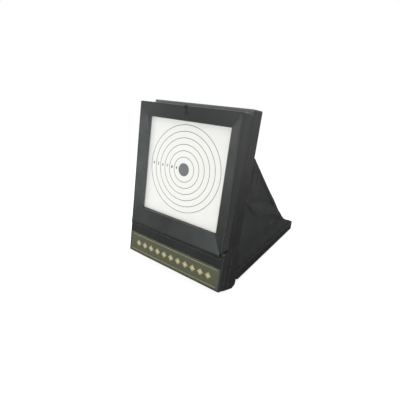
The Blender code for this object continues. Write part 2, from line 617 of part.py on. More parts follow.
def build_fold_pin(name, side, parent, material):
    """A shouldered pin: its head lies in the tray's arm, its shank in the block."""
    head_inner = TRAY_HALF_WIDTH - FOLD_HEAD_THICKNESS
    tip = BLOCK_HALF_WIDTH - FOLD_BOSS_LENGTH + WALL + CLEARANCE
    stations = ((tip, FOLD_PIN_RADIUS), (head_inner, FOLD_PIN_RADIUS), (head_inner, FOLD_HEAD_RADIUS),
                (TRAY_HALF_WIDTH - 0.3, FOLD_HEAD_RADIUS), (TRAY_HALF_WIDTH, FOLD_HEAD_RADIUS - 0.5))
    rings = []
    for x, r in stations:
        rings.append([(side * x, FOLD_AXIS_D + dy, FOLD_AXIS_V + dv) for dy, dv in arc(0, 0, r, 0, 345, 23)])
    return loft(name, rings, parent, material)


def build_door_pin(name, side, parent, material):
    inner = EAR_INNER_X - CLEARANCE - DOOR_LUG_LENGTH + WALL + CLEARANCE
    outer = COVER_HALF_WIDTH - 1 - CLEARANCE
    axis = (DOOR_AXIS_D, DOOR_AXIS_V)
    return cylinders(name, [((side * inner, *axis), (side * outer, *axis), DOOR_PIN_RADIUS)],
                     parent, material)


def box(name, x_range, d_range, v_range, parent, material):
    profile = [(d_range[0], v_range[0]), (d_range[1], v_range[0]),
               (d_range[1], v_range[1]), (d_range[0], v_range[1])]
    return side_prism(name, profile, x_range[0], x_range[1], parent, material)


def to_world(d, v):
    """World (y, z) in millimetres of a panel point."""
    return (PANEL_Y + v * SIN + d * COS, PANEL_Z + v * COS - d * SIN)


def tray_world(s, h):
    """World (y, z) in millimetres of a tray point."""
    axis_y = PANEL_Y + AXIS_Y
    return (axis_y + s * math.cos(TRAY_TILT) + h * math.sin(TRAY_TILT),
            AXIS_Z - s * math.sin(TRAY_TILT) + h * math.cos(TRAY_TILT))


def smooth_path(points, steps):
    """A Catmull-Rom curve through (y, z) points."""
    padded = [points[0]] + list(points) + [points[-1]]
    path = []
    for i in range(len(points) - 1):
        p0, p1, p2, p3 = (Vector(p) for p in padded[i:i + 4])
        for k in range(steps):
            t = k / steps
            path.append(0.5 * (2 * p1 + (p2 - p0) * t + (2 * p0 - 5 * p1 + 4 * p2 - p3) * t ** 2
                               + (3 * p1 - p0 - 3 * p2 + p3) * t ** 3))
    path.append(Vector(points[-1]))
    return path


def sheet(name, grid, thickness, material):
    """A closed sheet from a grid of world points, thickened to both sides."""
    rows, cols = len(grid), len(grid[0])
    normals = []
    for i in range(rows):
        line = []
        for j in range(cols):
            along = grid[min(i + 1, rows - 1)][j] - grid[max(i - 1, 0)][j]
            across = grid[i][min(j + 1, cols - 1)] - grid[i][max(j - 1, 0)]
            line.append(along.cross(across).normalized())
        normals.append(line)
    bm = bmesh.new()
    layers = []
    for sign in (-0.5, 0.5):
        layers.append([[bm.verts.new(grid[i][j] + normals[i][j] * thickness * sign)
                        for j in range(cols)] for i in range(rows)])
    for layer in layers:
        for i in range(rows - 1):
            for j in range(cols - 1):
                bm.faces.new((layer[i][j], layer[i][j + 1], layer[i + 1][j + 1], layer[i + 1][j]))
    rim = [(i, 0) for i in range(rows)] + [(rows - 1, j) for j in range(1, cols)]
    rim += [(i, cols - 1) for i in range(rows - 2, -1, -1)] + [(0, j) for j in range(cols - 2, 0, -1)]
    for a, b in zip(rim, rim[1:] + rim[:1]):
        bm.faces.new((layers[0][a[0]][a[1]], layers[0][b[0]][b[1]],
                      layers[1][b[0]][b[1]], layers[1][a[0]][a[1]]))
    return mesh_object(name, bm, None, material)


def back_route():
    """Side view of the bag's back panel, from the top strip down to the tray's rear wall."""
    strip_d = FLANGE_BACK_D + CLEARANCE + CLOTH / 2
    lip_s = TRAY_LENGTH - TRAY_WALL - CLEARANCE - CLOTH / 2
    top = to_world(strip_d, TOP_STRIP_V + STRIP_WIDTH)
    hang = to_world(strip_d, TOP_STRIP_V - 1)
    edge = to_world(REAR_BACK_D + BAG_EDGE_PROUD, BAG_EDGE_V)
    axis_y = PANEL_Y + AXIS_Y
    middle = (axis_y + BAG_MIDDLE_SHARE * TRAY_LENGTH, AXIS_Z + BAG_MIDDLE_RISE)
    sag = (axis_y + BAG_SAG_SHARE * TRAY_LENGTH, AXIS_Z + BAG_SAG_RISE)
    lip = tray_world(lip_s, TRAY_WALL_TOP + 0.5)
    end = tray_world(lip_s, -TRAY_FLOOR_DROP + 1.0)
    return [top, hang, edge, middle, sag, lip, end]


def hanging_path(steps):
    """The free run of the back panel, between the top strip and the tray's rear wall."""
    return smooth_path(back_route()[1:6], steps)


def build_back_panel(material):
    """The sloping back panel, with shallow folds running down it."""
    free_run = hanging_path(5)
    path = [Vector(back_route()[0])] + free_run + [Vector(back_route()[-1])]
    cols = 25
    grid = []
    for i, point in enumerate(path):
        t = min(max((i - 1) / (len(free_run) - 1), 0.0), 1.0)
        widen = min(1.0, 4 * t)
        half = TOP_STRIP_HALF_LENGTH + widen * (BACK_PANEL_X - TOP_STRIP_HALF_LENGTH)
        row = []
        for j in range(cols):
            x = half * (2 * j / (cols - 1) - 1)
            fold = FOLD_DEPTH * math.sin(math.pi * t) * math.cos(4 * math.pi * x / half) * (1 - (x / half) ** 2)
            row.append(Vector((x, point.x - 0.7 * fold, point.y - 0.7 * fold)))
        grid.append(row)
    return sheet("net_back", grid, CLOTH, material)


def along(points, t):
    """The point at share t of a polyline's length."""
    points = [Vector(p) for p in points]
    lengths = [(b - a).length for a, b in zip(points, points[1:])]
    left = t * sum(lengths)
    for a, b, length in zip(points, points[1:], lengths):
        if left <= length:
            return a.lerp(b, left / length)
        left -= length
    return points[-1]


def build_side_panel(name, side, material):
    """A side panel from the frame's wall to the back panel, billowing over its strap."""
    back = hanging_path(6)[6:]
    front = [to_world(SIDE_STRIP_D, BAG_EDGE_V), to_world(SIDE_STRIP_D, SEAM_V + 2 * WALL),
             to_world(REAR_BACK_D + 2, SEAM_V + 2 * WALL), to_world(REAR_BACK_D + 3, BLOCK_SHOULDER_V),
             tray_world(BAG_CORNER_S, TRAY_WALL_TOP + 1.0)]
    rows = len(back)
    cols = 12
    frame_x = REAR_HALF_WIDTH - WALL - CLEARANCE - CLOTH / 2
    tray_x = TRAY_INNER_X - CLEARANCE - CLOTH / 2
    tray_end = Vector(tray_world(TRAY_LENGTH - TRAY_WALL - 3 * CLOTH, TRAY_WALL_TOP + 1.0))
    grid = []
    for i in range(rows):
        t = i / (rows - 1)
        start = along(front, t)
        stop = back[i] + Vector((-2 * CLOTH, 0.0)) if i < rows - 1 else tray_end
        row = []
        for j in range(cols):
            u = j / (cols - 1)
            point = start.lerp(stop, u)
            depth = (point.x - PANEL_Y) * COS - (point.y - PANEL_Z) * SIN
            spread = max(0.0, min(1.0, (depth - REAR_BACK_D - SPREAD_START) / TRAY_STRIP_START)) * t
            billow = BILLOW * math.sin(math.pi * u) * math.sin(math.pi * t) ** 2
            row.append(Vector((side * (frame_x + (tray_x - frame_x) * spread + billow * spread), *point)))
        grid.append(row)
    for j, point in enumerate(grid[-1]):
        point.x = side * tray_x
    drop = Vector((0.0, *tray_world(0.0, -STRIP_WIDTH))) - Vector((0.0, *tray_world(0.0, 0.0)))
    grid.append([point + drop for point in grid[-1]])
    return sheet(name, grid, CLOTH, material)


def build_strips(panel, tray_frame, material):
    """Flat strips that clamp the cloth to the frame and to the tray."""
    cloth_back = FLANGE_BACK_D + 2 * CLEARANCE + CLOTH
    box("net_top_strip", (-TOP_STRIP_HALF_LENGTH, TOP_STRIP_HALF_LENGTH),
        (cloth_back, cloth_back + STRIP_THICKNESS), (TOP_STRIP_V, TOP_STRIP_V + STRIP_WIDTH), panel, material)
    wall_s = TRAY_LENGTH - TRAY_WALL - 2 * CLEARANCE - CLOTH
    rear_x = TRAY_INNER_X - 2 * CLEARANCE - CLOTH - STRIP_THICKNESS - CLEARANCE
    box("net_rear_strip", (-rear_x, rear_x), (wall_s - STRIP_THICKNESS, wall_s),
        (1 - TRAY_FLOOR_DROP, 1 - TRAY_FLOOR_DROP + STRIP_WIDTH), tray_frame, material)
    for side, word in ((-1, "left"), (1, "right")):
        outer = REAR_HALF_WIDTH - WALL - 2 * CLEARANCE - CLOTH
        box(f"net_side_strip_{word}", (side * (outer - STRIP_THICKNESS), side * outer),
            (SIDE_STRIP_D, SIDE_STRIP_D + STRIP_WIDTH), (SIDE_STRIP_BOTTOM_V, SIDE_STRIP_TOP_V), panel, material)
        outer = TRAY_INNER_X - 2 * CLEARANCE - CLOTH
        box(f"tray_side_strip_{word}", (side * (outer - STRIP_THICKNESS), side * outer),
            (TRAY_STRIP_START, wall_s - STRIP_THICKNESS - 2 * CLEARANCE),
            (1 - TRAY_FLOOR_DROP, 1 - TRAY_FLOOR_DROP + STRIP_WIDTH), tray_frame, material)


def build_strap(word, side, cloth, steel):
    """A flat stay strap from the frame to the tray's rear end, with a rivet head at each end."""
    top_x = REAR_HALF_WIDTH - WALL - 3 * CLEARANCE - CLOTH - STRIP_THICKNESS - STRAP_THICKNESS / 2
    low_x = TRAY_INNER_X - 3 * CLEARANCE - CLOTH - STRIP_THICKNESS - STRAP_THICKNESS / 2
    top = Vector((top_x, *to_world(SIDE_STRIP_D + STRIP_WIDTH / 2, STRAP_ANCHOR_V)))
    low = Vector((low_x, *tray_world(TRAY_LENGTH - TRAY_WALL - 1.5 * STRAP_WIDTH, 0.8 * STRAP_WIDTH - TRAY_FLOOR_DROP)))
    run = (low - top).normalized()
    half = run.cross(Vector((1.0, 0.0, 0.0))).normalized() * STRAP_WIDTH / 2
    knee_top = top + run * STRAP_WIDTH * 0.5
    knee_low = low - run * STRAP_WIDTH * 0.5
    stations = [top - run * STRAP_WIDTH * 0.3, knee_top, knee_low, low + run * STRAP_WIDTH * 0.2]
    flat_x = (top_x, top_x, low_x, low_x)
    grid = []
    for point, x in zip(stations, flat_x):
        flat = Vector((x, point.y, point.z))
        grid.append([Vector((side * p.x, p.y, p.z)) for p in (flat - half, flat + half)])
    sheet(f"stay_strap_{word}", grid, STRAP_THICKNESS, cloth)
    for anchor, point in (("top", top), ("low", low)):
        start = point.x - STRAP_THICKNESS / 2 - CLEARANCE
        cylinders(f"strap_rivet_{word}_{anchor}", [((side * start, point.y, point.z),
                                                   (side * (start - RIVET_HEIGHT), point.y, point.z),
                                                   RIVET_RADIUS)], None, steel)


def main():
    clear_scene()
    black = plastic("black_plastic", (0.03, 0.032, 0.034))
    print_color = plastic("label_print", (0.05, 0.055, 0.035), 0.4)
    paper = plastic("paper", (0.85, 0.84, 0.8), 0.8)
    steel = plastic("steel", (0.5, 0.5, 0.52), 0.3, 1.0)
    cloth = plastic("black_cloth", (0.02, 0.021, 0.022), 0.9)
    panel = empty("panel_frame", (0, PANEL_Y, PANEL_Z), -LEAN)
    tray_frame = empty("tray_axis", (0, PANEL_Y + AXIS_Y, AXIS_Z), -TRAY_TILT)

    build_door(panel, black)
    build_lower_cover(panel, black)
    build_main_frame(panel, black)
    build_rear_frame(panel, black)
    build_tray(tray_frame, black)
    label_front = COVER_FACE_D + LABEL_RECESS - CLEARANCE - LABEL_THICKNESS
    plate("label_plate", LABEL_HALF_WIDTH, LABEL_BOTTOM_V, LABEL_TOP_V, label_front,
          label_front + LABEL_THICKNESS, 0.8, panel, print_color)
    plate("target_paper", PAPER_SIDE / 2, PAPER_BOTTOM_V, PAPER_TOP_V, 0.0, PAPER_THICKNESS, 0.5,
          panel, paper)
    build_screws("frame_screw", frame_screw_places(), FLANGE_BACK_D + CLEARANCE, CHASSIS_D + 2 * WALL,
                 panel, steel)
    build_screws("cover_screw", cover_screw_places(), CHASSIS_D + WALL + CLEARANCE, COVER_FACE_D + 2.5 * WALL,
                 panel, steel)
    for side, word in ((-1, "left"), (1, "right")):
        build_fold_pin(f"fold_pin_{word}", side, panel, steel)
        build_door_pin(f"door_pin_{word}", side, panel, steel)
    build_strips(panel, tray_frame, black)
    build_back_panel(cloth)
    for side, word in ((-1, "left"), (1, "right")):
        build_side_panel(f"net_side_{word}", side, cloth)
        build_strap(word, side, cloth, steel)


main()
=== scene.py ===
import math

import bpy
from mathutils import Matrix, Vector


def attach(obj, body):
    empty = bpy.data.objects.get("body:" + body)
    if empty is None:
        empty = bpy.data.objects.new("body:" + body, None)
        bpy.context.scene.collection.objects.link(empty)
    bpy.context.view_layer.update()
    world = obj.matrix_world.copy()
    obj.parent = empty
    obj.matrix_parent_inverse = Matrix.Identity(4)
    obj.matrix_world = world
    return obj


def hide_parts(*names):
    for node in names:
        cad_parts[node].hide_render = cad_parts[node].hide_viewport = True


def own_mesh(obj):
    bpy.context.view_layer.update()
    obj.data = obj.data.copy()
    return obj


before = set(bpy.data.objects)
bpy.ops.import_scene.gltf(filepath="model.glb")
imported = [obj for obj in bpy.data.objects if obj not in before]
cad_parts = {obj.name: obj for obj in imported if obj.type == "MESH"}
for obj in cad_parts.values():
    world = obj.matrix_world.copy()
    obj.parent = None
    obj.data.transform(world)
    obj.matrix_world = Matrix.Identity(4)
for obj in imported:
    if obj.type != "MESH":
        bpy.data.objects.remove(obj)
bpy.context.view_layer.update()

bl_info = {
    "name": "Folding Target Holder",
    "version": (1, 0, 0),
    "blender": (4, 5, 0),
    "location": "View3D > Sidebar > Target Holder",
    "description": "Dresses the packed target holder with cloth, print and moulded plastic",
    "category": "Add Mesh",
}

MM = 0.001

# The panel's lean and rings' centre, the tray's fold axis and slope, in world millimetres and radians
LEAN = math.radians(10.4)
PANEL_Y = -96.872
PANEL_Z = 157.247
AXIS_Y = -75.194
AXIS_Z = 14.996
TRAY_TILT = 0.0259313

# Depths behind the paper's front and heights up the panel, in millimetres
FRAME_BACK_D = 41.0
FLANGE_D = 19.8
SEAM_V = -98.5
LABEL_V = -127.5

# Print on the paper and the label, in millimetres
RING_STEP = 8.37
RING_STEPS_DRAWN = 7.4
RING_FIGURES = "987654"
NUMBER_WEIGHT = 0.12
NUMBER_STANDOFF = 0.04
BORDER_LINE_V = 12.2
BORDER_LINE_END_X = 78.0
DIAMOND_STEP = 13.0
DIAMOND_ROW_END_X = 71.0
DIAMOND_REACH = 5.0
DIAMOND_HEART_REACH = 2.0
PRINT_BLUR = 0.2

# Where painted light and shade change the tone of plastic and cloth, and where the notch's grime lies:
# heights, and distances from the middle, in metres
PAINTED_TOP_LIGHT_Z = (0.08, 0.23)
TOP_BAND_Z = (0.224, 0.233)
REVEAL_LIGHT_X = (0.0705, 0.0695)
NOTCH_X = (0.0042, 0.0026)
NOTCH_Z = (0.2265, 0.2285)
CLOTH_PAINTED_TOP_LIGHT_Z = (0.045, 0.11)

# How wide an edge is softened and worn, in metres, and the linear colours of wear that also serves as
# painted highlights and painted light, of dust, and of grime that also serves as painted shade
EDGE_WIDTH = 0.0011
WEAR_AND_HIGHLIGHT = (0.2, 0.205, 0.21)
DUST = (0.32, 0.31, 0.29)
GRIME_AND_SHADE = (0.004, 0.004, 0.004)

# Moulded pieces: material, nodes, share of the plastic's colour and settings of the finish, with its
# painted light and shade
STRIP_NODES = tuple(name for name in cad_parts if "strip" in name)
MOULDINGS = (
    ("door_plastic", ("door_bezel",), 0.95,
     {"roughness": 0.33, "specular": 0.16, "reveal_light": 0.6, "notch": 0.6}),
    ("cover_plastic", ("lower_front_cover",), 0.8, {"roughness": 0.42, "specular": 0.1}),
    # The frames are painted lighter towards the top and on their top band, as painted light
    ("frame_plastic", ("main_frame", "rear_frame"), 0.8,
     {"roughness": 0.45, "specular": 0.07, "painted_top_light": 3.0, "top": 0.8}),
    ("tray_plastic", ("base_tray",), 0.85, {"roughness": 0.55, "specular": 0.07}),
    ("strip_plastic", STRIP_NODES, 0.55, {"roughness": 0.6, "specular": 0.3, "scale": 3000.0}),
)

# The bag's seam between side and back: millimetres behind the rings' centre and over the floor
REAR_EDGE = ((51, 176), (68, 158), (88, 136), (109, 113), (132, 89), (156, 63), (168, 52.5),
             (180, 41), (200, 27), (222.5, 16.5))

# The side cloth's front edge: (d, v) of its corners at the frame and (s, h) of its foot at the tray
SIDE_FRONT = ((30, 30), (30, SEAM_V + 5), (FRAME_BACK_D + 2, SEAM_V + 5), (FRAME_BACK_D + 0.8, -122))
SIDE_FOOT = (2, 5.5)

# How far out the side cloth stands, in millimetres
SIDE_X = 76.8
SIDE_SPREAD = 2.6
TRAY_FLARE = 2.2

# Stretches over which the side cloth changes, in millimetres behind the frame or over the tray's axis
SPREAD_BEHIND = (2.0, 42.0)
SPREAD_BEHIND_LOW = (-1.0, 9.0)
FREE_BEHIND = (0.5, 9.0)
STRAIGHT_OVER_TRAY = (34.0, 12.0)
FLARE_OVER_TRAY = (12.5, 7.5)

# The fold over the stay strap, in millimetres along and above a line of (y, z) points
FOLD_START = Vector((-48.5, 114.0))
FOLD_END = Vector((126.0, 17.5))
FOLD_LOW = -2.0
FOLD_DROOP = 10.5
FOLD_DROOP_AT = 36.0
FOLD_DROOP_WIDTH = 38.0
FOLD_HIGH = 1.0
FOLD_WIDENING = 0.15
FOLD_FADE_IN = (-12.0, 8.0)
FOLD_FADE_OUT = (205.0, 150.0)
CREASE_RISE = 2.0
CREASE_WIDTH = 2.4
BODY_HEIGHT = 22.0
SINK_BELOW_FOLD = 0.5

# How far the fold's parts move the cloth out or in, as shares of the billow
ROLL_OUT = 1.25
CREASE_IN = 0.5
BODY_OUT = 0.45
STRETCH_IN = 1.25

# Two short streaks above the fold: where each crosses its height, that height and its width
STREAKS = ((-18.0, 34.0, 2.6), (2.0, 39.0, 2.4))
STREAK_SLANT = 0.3
STREAK_DEPTH = 1.2
STREAK_ABOVE = 38.0
STREAK_LENGTH = 9.0

# The back cloth: shares of its length at which its seams start and end, and sizes in millimetres
SEAM_START = 0.22
SEAM_END = 0.94
BACK_TOP_V = (74, 64)
BACK_LOW_S = 201.1
BACK_LOW_H = (7.0, -6.5)
BACK_TOP_HALF = 64.0
BACK_SIDE_GAP = 1.0
BACK_SAG = 3.5
BACK_FOLD = 1.6
BACK_WAVE = 0.7

# How close the back cloth's folds and the waves between them stand, in radians per millimetre
BACK_FOLD_RATE = 0.105
BACK_WAVE_RATE = 0.23

# How much of the sag and folds goes both back and up, which is near the cosine of 45 degrees
DEPTH_SHARE = 0.7

# The stay straps, in millimetres: (x, d, v) at the rivet in the frame, (x, s, h) at that in the tray
STRAP_TOP = (74.3, 34, -46)
STRAP_LOW = (76.5, 186.8, 0.5)
STRAP_WIDTH = 10.0
STRAP_THICKNESS = 1.0
STRAP_COLOR = (0.02, 0.02, 0.021)

# A strap's start and reach, as shares of the line between its rivets
STRAP_FROM = -0.016
STRAP_REACH = 1.03

# The tape over each seam: its start and reach, as shares of the seam, and sizes in millimetres
TAPE_FROM = 0.02
TAPE_REACH = 0.95
TAPE_INSET = 0.9
TAPE_HALF_X = 1.1
TAPE_HALF_WIDTH = 2.0
TAPE_LIFT = 0.2
TAPE_THICKNESS = 0.4

# The sheets' grids, and the millimetres of weave that their UV maps hold across and down
SIDE_GRID = {"rows": 141, "columns": 91, "size": (150, 240)}
BACK_GRID = {"rows": 181, "columns": 121, "size": (160, 300)}
TAPE_GRID = {"rows": 121, "columns": 13, "size": (10, 240)}
STRAP_GRID = {"rows": 61, "columns": 9, "size": (10, 200)}

# Linear colours of steel and print, each pair from its darker to its lighter tone
BRIGHT_STEEL = ((0.42, 0.42, 0.43), (0.62, 0.62, 0.6))
BLACKENED_STEEL = ((0.022, 0.022, 0.023), (0.035, 0.035, 0.036))
NUMBER_INK = ((0.025, 0.025, 0.025), (0.05, 0.05, 0.05))
PALE_PRINT = (0.5, 0.5, 0.45)

# The camera, fitted to the photo: place, lens and sensor in millimetres, and turn in degrees
CAMERA_PLACE = (246.83, -397.90, 282.60)
CAMERA_TURN = (66.5115, -1.2492, 36.5399)
CAMERA_LENS = 27.366
CAMERA_SENSOR = 36.0

# The stage, in metres. Lamps: name, place, width, height, watts and colour
LAMPS = (("front_strip", (-0.36, -1.39, 0.24), 0.22, 0.56, 8.2, (0.9, 0.98, 1.0)),
         ("left_strip", (-1.04, -0.77, 0.18), 0.35, 0.8, 3.8, (1.0, 0.98, 1.0)),
         ("right_strip", (1.05, -0.95, 0.45), 0.3, 0.7, 2.0, (1.0, 1.0, 1.0)),
         ("key_light", (-0.35, -1.0, 1.45), 0.8, 0.8, 1.6, (1.0, 1.0, 1.0)),
         ("top_light", (-0.2, 0.1, 1.6), 1.2, 1.2, 8.0, (1.0, 1.0, 1.0)))
LAMP_AIM = (0, 0, 0.1)
WORLD_LIGHT = 0.44
WHITE = (1, 1, 1, 1)

# The floor: its own shading fades into white between two distances from the middle
FLOOR_RADIUS = 6.0
FLOOR_DROP = 0.0002
FLOOR_TONE = (0.64, 0.64, 0.64)
FLOOR_LIFT = 0.8
FLOOR_FADE = (0.25, 0.8)

SIDES = ((-1, "left"), (1, "right"))


def panel(x, d, v):
    """World millimetres of a point given across, behind and up the leaning panel."""
    return Vector((x, PANEL_Y + v * math.sin(LEAN) + d * math.cos(LEAN),
                   PANEL_Z + v * math.cos(LEAN) - d * math.sin(LEAN)))


def tray(x, s, h):
    """World millimetres of a point given across, along and above the tray's axis."""
    return Vector((x, AXIS_Y + s * math.cos(TRAY_TILT) + h * math.sin(TRAY_TILT),
                   AXIS_Z - s * math.sin(TRAY_TILT) + h * math.cos(TRAY_TILT)))


def smooth_step(low, high, value):
    """0 at low, 1 at high and smooth between them; low may be the larger."""
    t = min(max((value - low) / (high - low), 0.0), 1.0)
    return t * t * (3 - 2 * t)


def bump(value, middle, width):
    """A soft hump, 1 at the middle and near 0 two widths away."""
    return math.exp(-((value - middle) / width) ** 2)


def curve_through(points, share):
    """The point at a share of the way along a smooth curve through the points."""
    points = [Vector(p) for p in points]
    spans = [(b - a).length for a, b in zip(points, points[1:])]
    left = min(max(share, 0.0), 1.0) * sum(spans)
    for i, span in enumerate(spans):
        if left <= span or i == len(spans) - 1:
            t = min(left / span, 1.0)
            p0, p3 = points[max(i - 1, 0)], points[min(i + 2, len(points) - 1)]
            p1, p2 = points[i], points[i + 1]
            return 0.5 * (2 * p1 + (p2 - p0) * t + (2 * p0 - 5 * p1 + 4 * p2 - p3) * t ** 2
                          + (3 * p1 - p0 - 3 * p2 + p3) * t ** 3)
        left -= span
    return points[-1]


def line_through(points, share):
    """The point at a share of the way along a polyline."""
    points = [Vector(p) for p in points]
    spans = [(b - a).length for a, b in zip(points, points[1:])]
    left = min(max(share, 0.0), 1.0) * sum(spans)
    for a, b, span in zip(points, points[1:], spans):
        if left <= span:
            return a.lerp(b, left / span)
        left -= span
    return points[-1]


def shade(color, factor=1.0):
    """A linear colour times a factor, with the alpha that a socket wants."""
    return (*[c * factor for c in color], 1)


class Graph:
    """Adds nodes to a node tree."""

    def __init__(self, tree):
        self.tree = tree

    def add(self, kind, settings=None, **inputs):
        """A node whose inputs are given by name, with _ for a space, or as i0, i1 by number."""
        node = self.tree.nodes.new(kind)
        node.location = (220 * (len(self.tree.nodes) % 8), -180 * (len(self.tree.nodes) // 8))
        for key, value in (settings or {}).items():
            setattr(node, key, value)
        for key, value in inputs.items():
            by_number = key[0] == "i" and key[1:].isdigit()
            self.feed(node.inputs[int(key[1:]) if by_number else key.replace("_", " ")], value)
        return node

    def feed(self, socket, value):
        """Link a socket or a node's first output, or set a constant."""
        if isinstance(value, bpy.types.NodeSocket):
            self.tree.links.new(value, socket)
        elif isinstance(value, bpy.types.Node):
            self.tree.links.new(value.outputs[0], socket)
        else:
            socket.default_value = value

    def math(self, operation, a, b=0.0):
        """One of Blender's maths operations on two values, of which some use the first alone."""
        return self.add("ShaderNodeMath", {"operation": operation}, i0=a, i1=b).outputs[0]

    def total(self, a, b):
        return self.math("ADD", a, b)

    def product(self, a, b):
        return self.math("MULTIPLY", a, b)

    def larger(self, a, b):
        return self.math("MAXIMUM", a, b)

    def magnitude(self, a):
        return self.math("ABSOLUTE", a)

    def dot(self, a, b):
        return self.add("ShaderNodeVectorMath", {"operation": "DOT_PRODUCT"}, i0=a, i1=b).outputs["Value"]

    def mix(self, factor, a, b):
        """Colour a where the factor is 0 and b where it is 1."""
        node = self.add("ShaderNodeMix", {"data_type": "RGBA"})
        self.feed(node.inputs[0], factor)
        self.feed(node.inputs[6], a)
        self.feed(node.inputs[7], b)
        return node.outputs[2]

    def ramp(self, value, low, high, to_low=0.0, to_high=1.0):
        """A smooth step from to_low to to_high as the value goes from low to high."""
        return self.add("ShaderNodeMapRange", {"interpolation_type": "SMOOTHSTEP"}, Value=value,
                        From_Min=low, From_Max=high, To_Min=to_low, To_Max=to_high).outputs[0]

    def noise(self, vector, scale, detail=3.0, roughness=0.5):
        """Cloudy noise around 0.5, with its scale in spots per metre."""
        return self.add("ShaderNodeTexNoise", None, Vector=vector, Scale=scale, Detail=detail,
                        Roughness=roughness).outputs["Fac"]

    def place(self):
        """The object's own coordinates, in metres."""
        return self.add("ShaderNodeTexCoord").outputs["Object"]

    def height(self):
        """The height over the floor, in metres."""
        return self.add("ShaderNodeSeparateXYZ", None, Vector=self.place()).outputs["Z"]

    def relief(self, strength, distance, height, **inputs):
        """A normal that follows fine relief, with its distance in metres."""
        return self.add("ShaderNodeBump", None, Strength=strength, Distance=distance, Height=height,
                        **inputs)


def new_group(name, inputs, outputs):
    """A node group with its graph and its input and output nodes."""
    tree = bpy.data.node_groups.new(name, "ShaderNodeTree")
    for label, kind, value in inputs:
        socket = tree.interface.new_socket(name=label, in_out="INPUT", socket_type=kind)
        socket.default_value = value
    for label, kind in outputs:
        tree.interface.new_socket(name=label, in_out="OUTPUT", socket_type=kind)
    graph = Graph(tree)
    return tree, graph, graph.add("NodeGroupInput"), graph.add("NodeGroupOutput")


def grain_group():
    """Fine moulded texture: a height, and a slow change of tone."""
    if "Moulded Grain" in bpy.data.node_groups:
        return bpy.data.node_groups["Moulded Grain"]
    tree, g, source, out = new_group("Moulded Grain", [("Scale", "NodeSocketFloat", 2200.0)],
                                     [("Height", "NodeSocketFloat"), ("Tone", "NodeSocketFloat")])
    place, scale = g.place(), source.outputs["Scale"]
    cells = g.add("ShaderNodeTexVoronoi", {"feature": "SMOOTH_F1"}, Vector=place, Scale=scale)
    fine = g.noise(place, scale, 2.0)
    g.feed(out.inputs["Height"],
           g.total(g.product(cells.outputs["Distance"], 0.6), g.product(fine, 0.4)))
    slow = g.noise(place, 22.0, 4.0, 0.6)
    g.feed(out.inputs["Tone"], g.ramp(slow, 0.3, 0.7))
    return tree


def wear_and_light_group():
    """Masks for worn edges, dust, painted highlights on rounded edges, painted light on the top band, a
    painted reflection on the window's side walls, and grime with painted shade in the notch.
    """
    if "Edge Wear, Dust And Painted Light" in bpy.data.node_groups:
        return bpy.data.node_groups["Edge Wear, Dust And Painted Light"]
    masks = ("Wear", "Dust", "Round Edge Highlight", "Top", "Reveal Light", "Notch Grime And Shade")
    tree, g, source, out = new_group("Edge Wear, Dust And Painted Light", [("Width", "NodeSocketFloat", EDGE_WIDTH)],
                                     [*[(mask, "NodeSocketFloat") for mask in masks],
                                      ("Soft Normal", "NodeSocketVector")])
    coordinates = g.add("ShaderNodeTexCoord")
    place = coordinates.outputs["Object"]
    soft = g.add("ShaderNodeBevel", {"samples": 6}, Radius=source.outputs["Width"]).outputs["Normal"]
    g.feed(out.inputs["Soft Normal"], soft)

    # Wear where the softened normal turns away from the face, in patches
    face = g.add("ShaderNodeNewGeometry").outputs["Normal"]
    turned = g.math("SUBTRACT", 1.0, g.dot(soft, face))
    patchy = g.ramp(g.noise(place, 160.0, 5.0, 0.65), 0.36, 0.56)
    g.feed(out.inputs["Wear"], g.product(g.ramp(turned, 0.01, 0.09), patchy))

    # Dust in specks on faces that look up
    upward = g.ramp(g.dot(coordinates.outputs["Normal"], (0.0, 0.0, 1.0)), 0.25, 1.0)
    specks = g.ramp(g.noise(place, 420.0, 6.0, 0.7), 0.45, 0.8)
    g.feed(out.inputs["Dust"], g.product(upward, specks))

    # Painted highlight on rounded edges, whose faces look partly to a side or partly up the panel
    facing_side = g.magnitude(g.dot(face, (1.0, 0.0, 0.0)))
    facing_up = g.dot(face, (0.0, math.sin(LEAN), math.cos(LEAN)))
    slanted = [g.product(g.ramp(facing, 0.3, 0.45), g.ramp(facing, 0.97, 0.88))
               for facing in (facing_side, facing_up)]
    g.feed(out.inputs["Round Edge Highlight"], g.larger(*slanted))

    # Painted light on the band along the top, a painted reflection on the window's side walls and, in the
    # notch, grime with painted shade, by their places
    from_middle = g.magnitude(g.dot(place, (1.0, 0.0, 0.0)))
    height = g.dot(place, (0.0, 0.0, 1.0))
    g.feed(out.inputs["Top"], g.product(g.ramp(facing_side, 0.5, 0.3), g.ramp(height, *TOP_BAND_Z)))
    # Painted reflection: the window's side walls are lightened as if they caught the paper's light
    g.feed(out.inputs["Reveal Light"], g.product(g.ramp(facing_side, 0.85, 0.95), g.ramp(from_middle, *REVEAL_LIGHT_X)))
    g.feed(out.inputs["Notch Grime And Shade"], g.product(g.ramp(from_middle, *NOTCH_X), g.ramp(height, *NOTCH_Z)))
    return tree


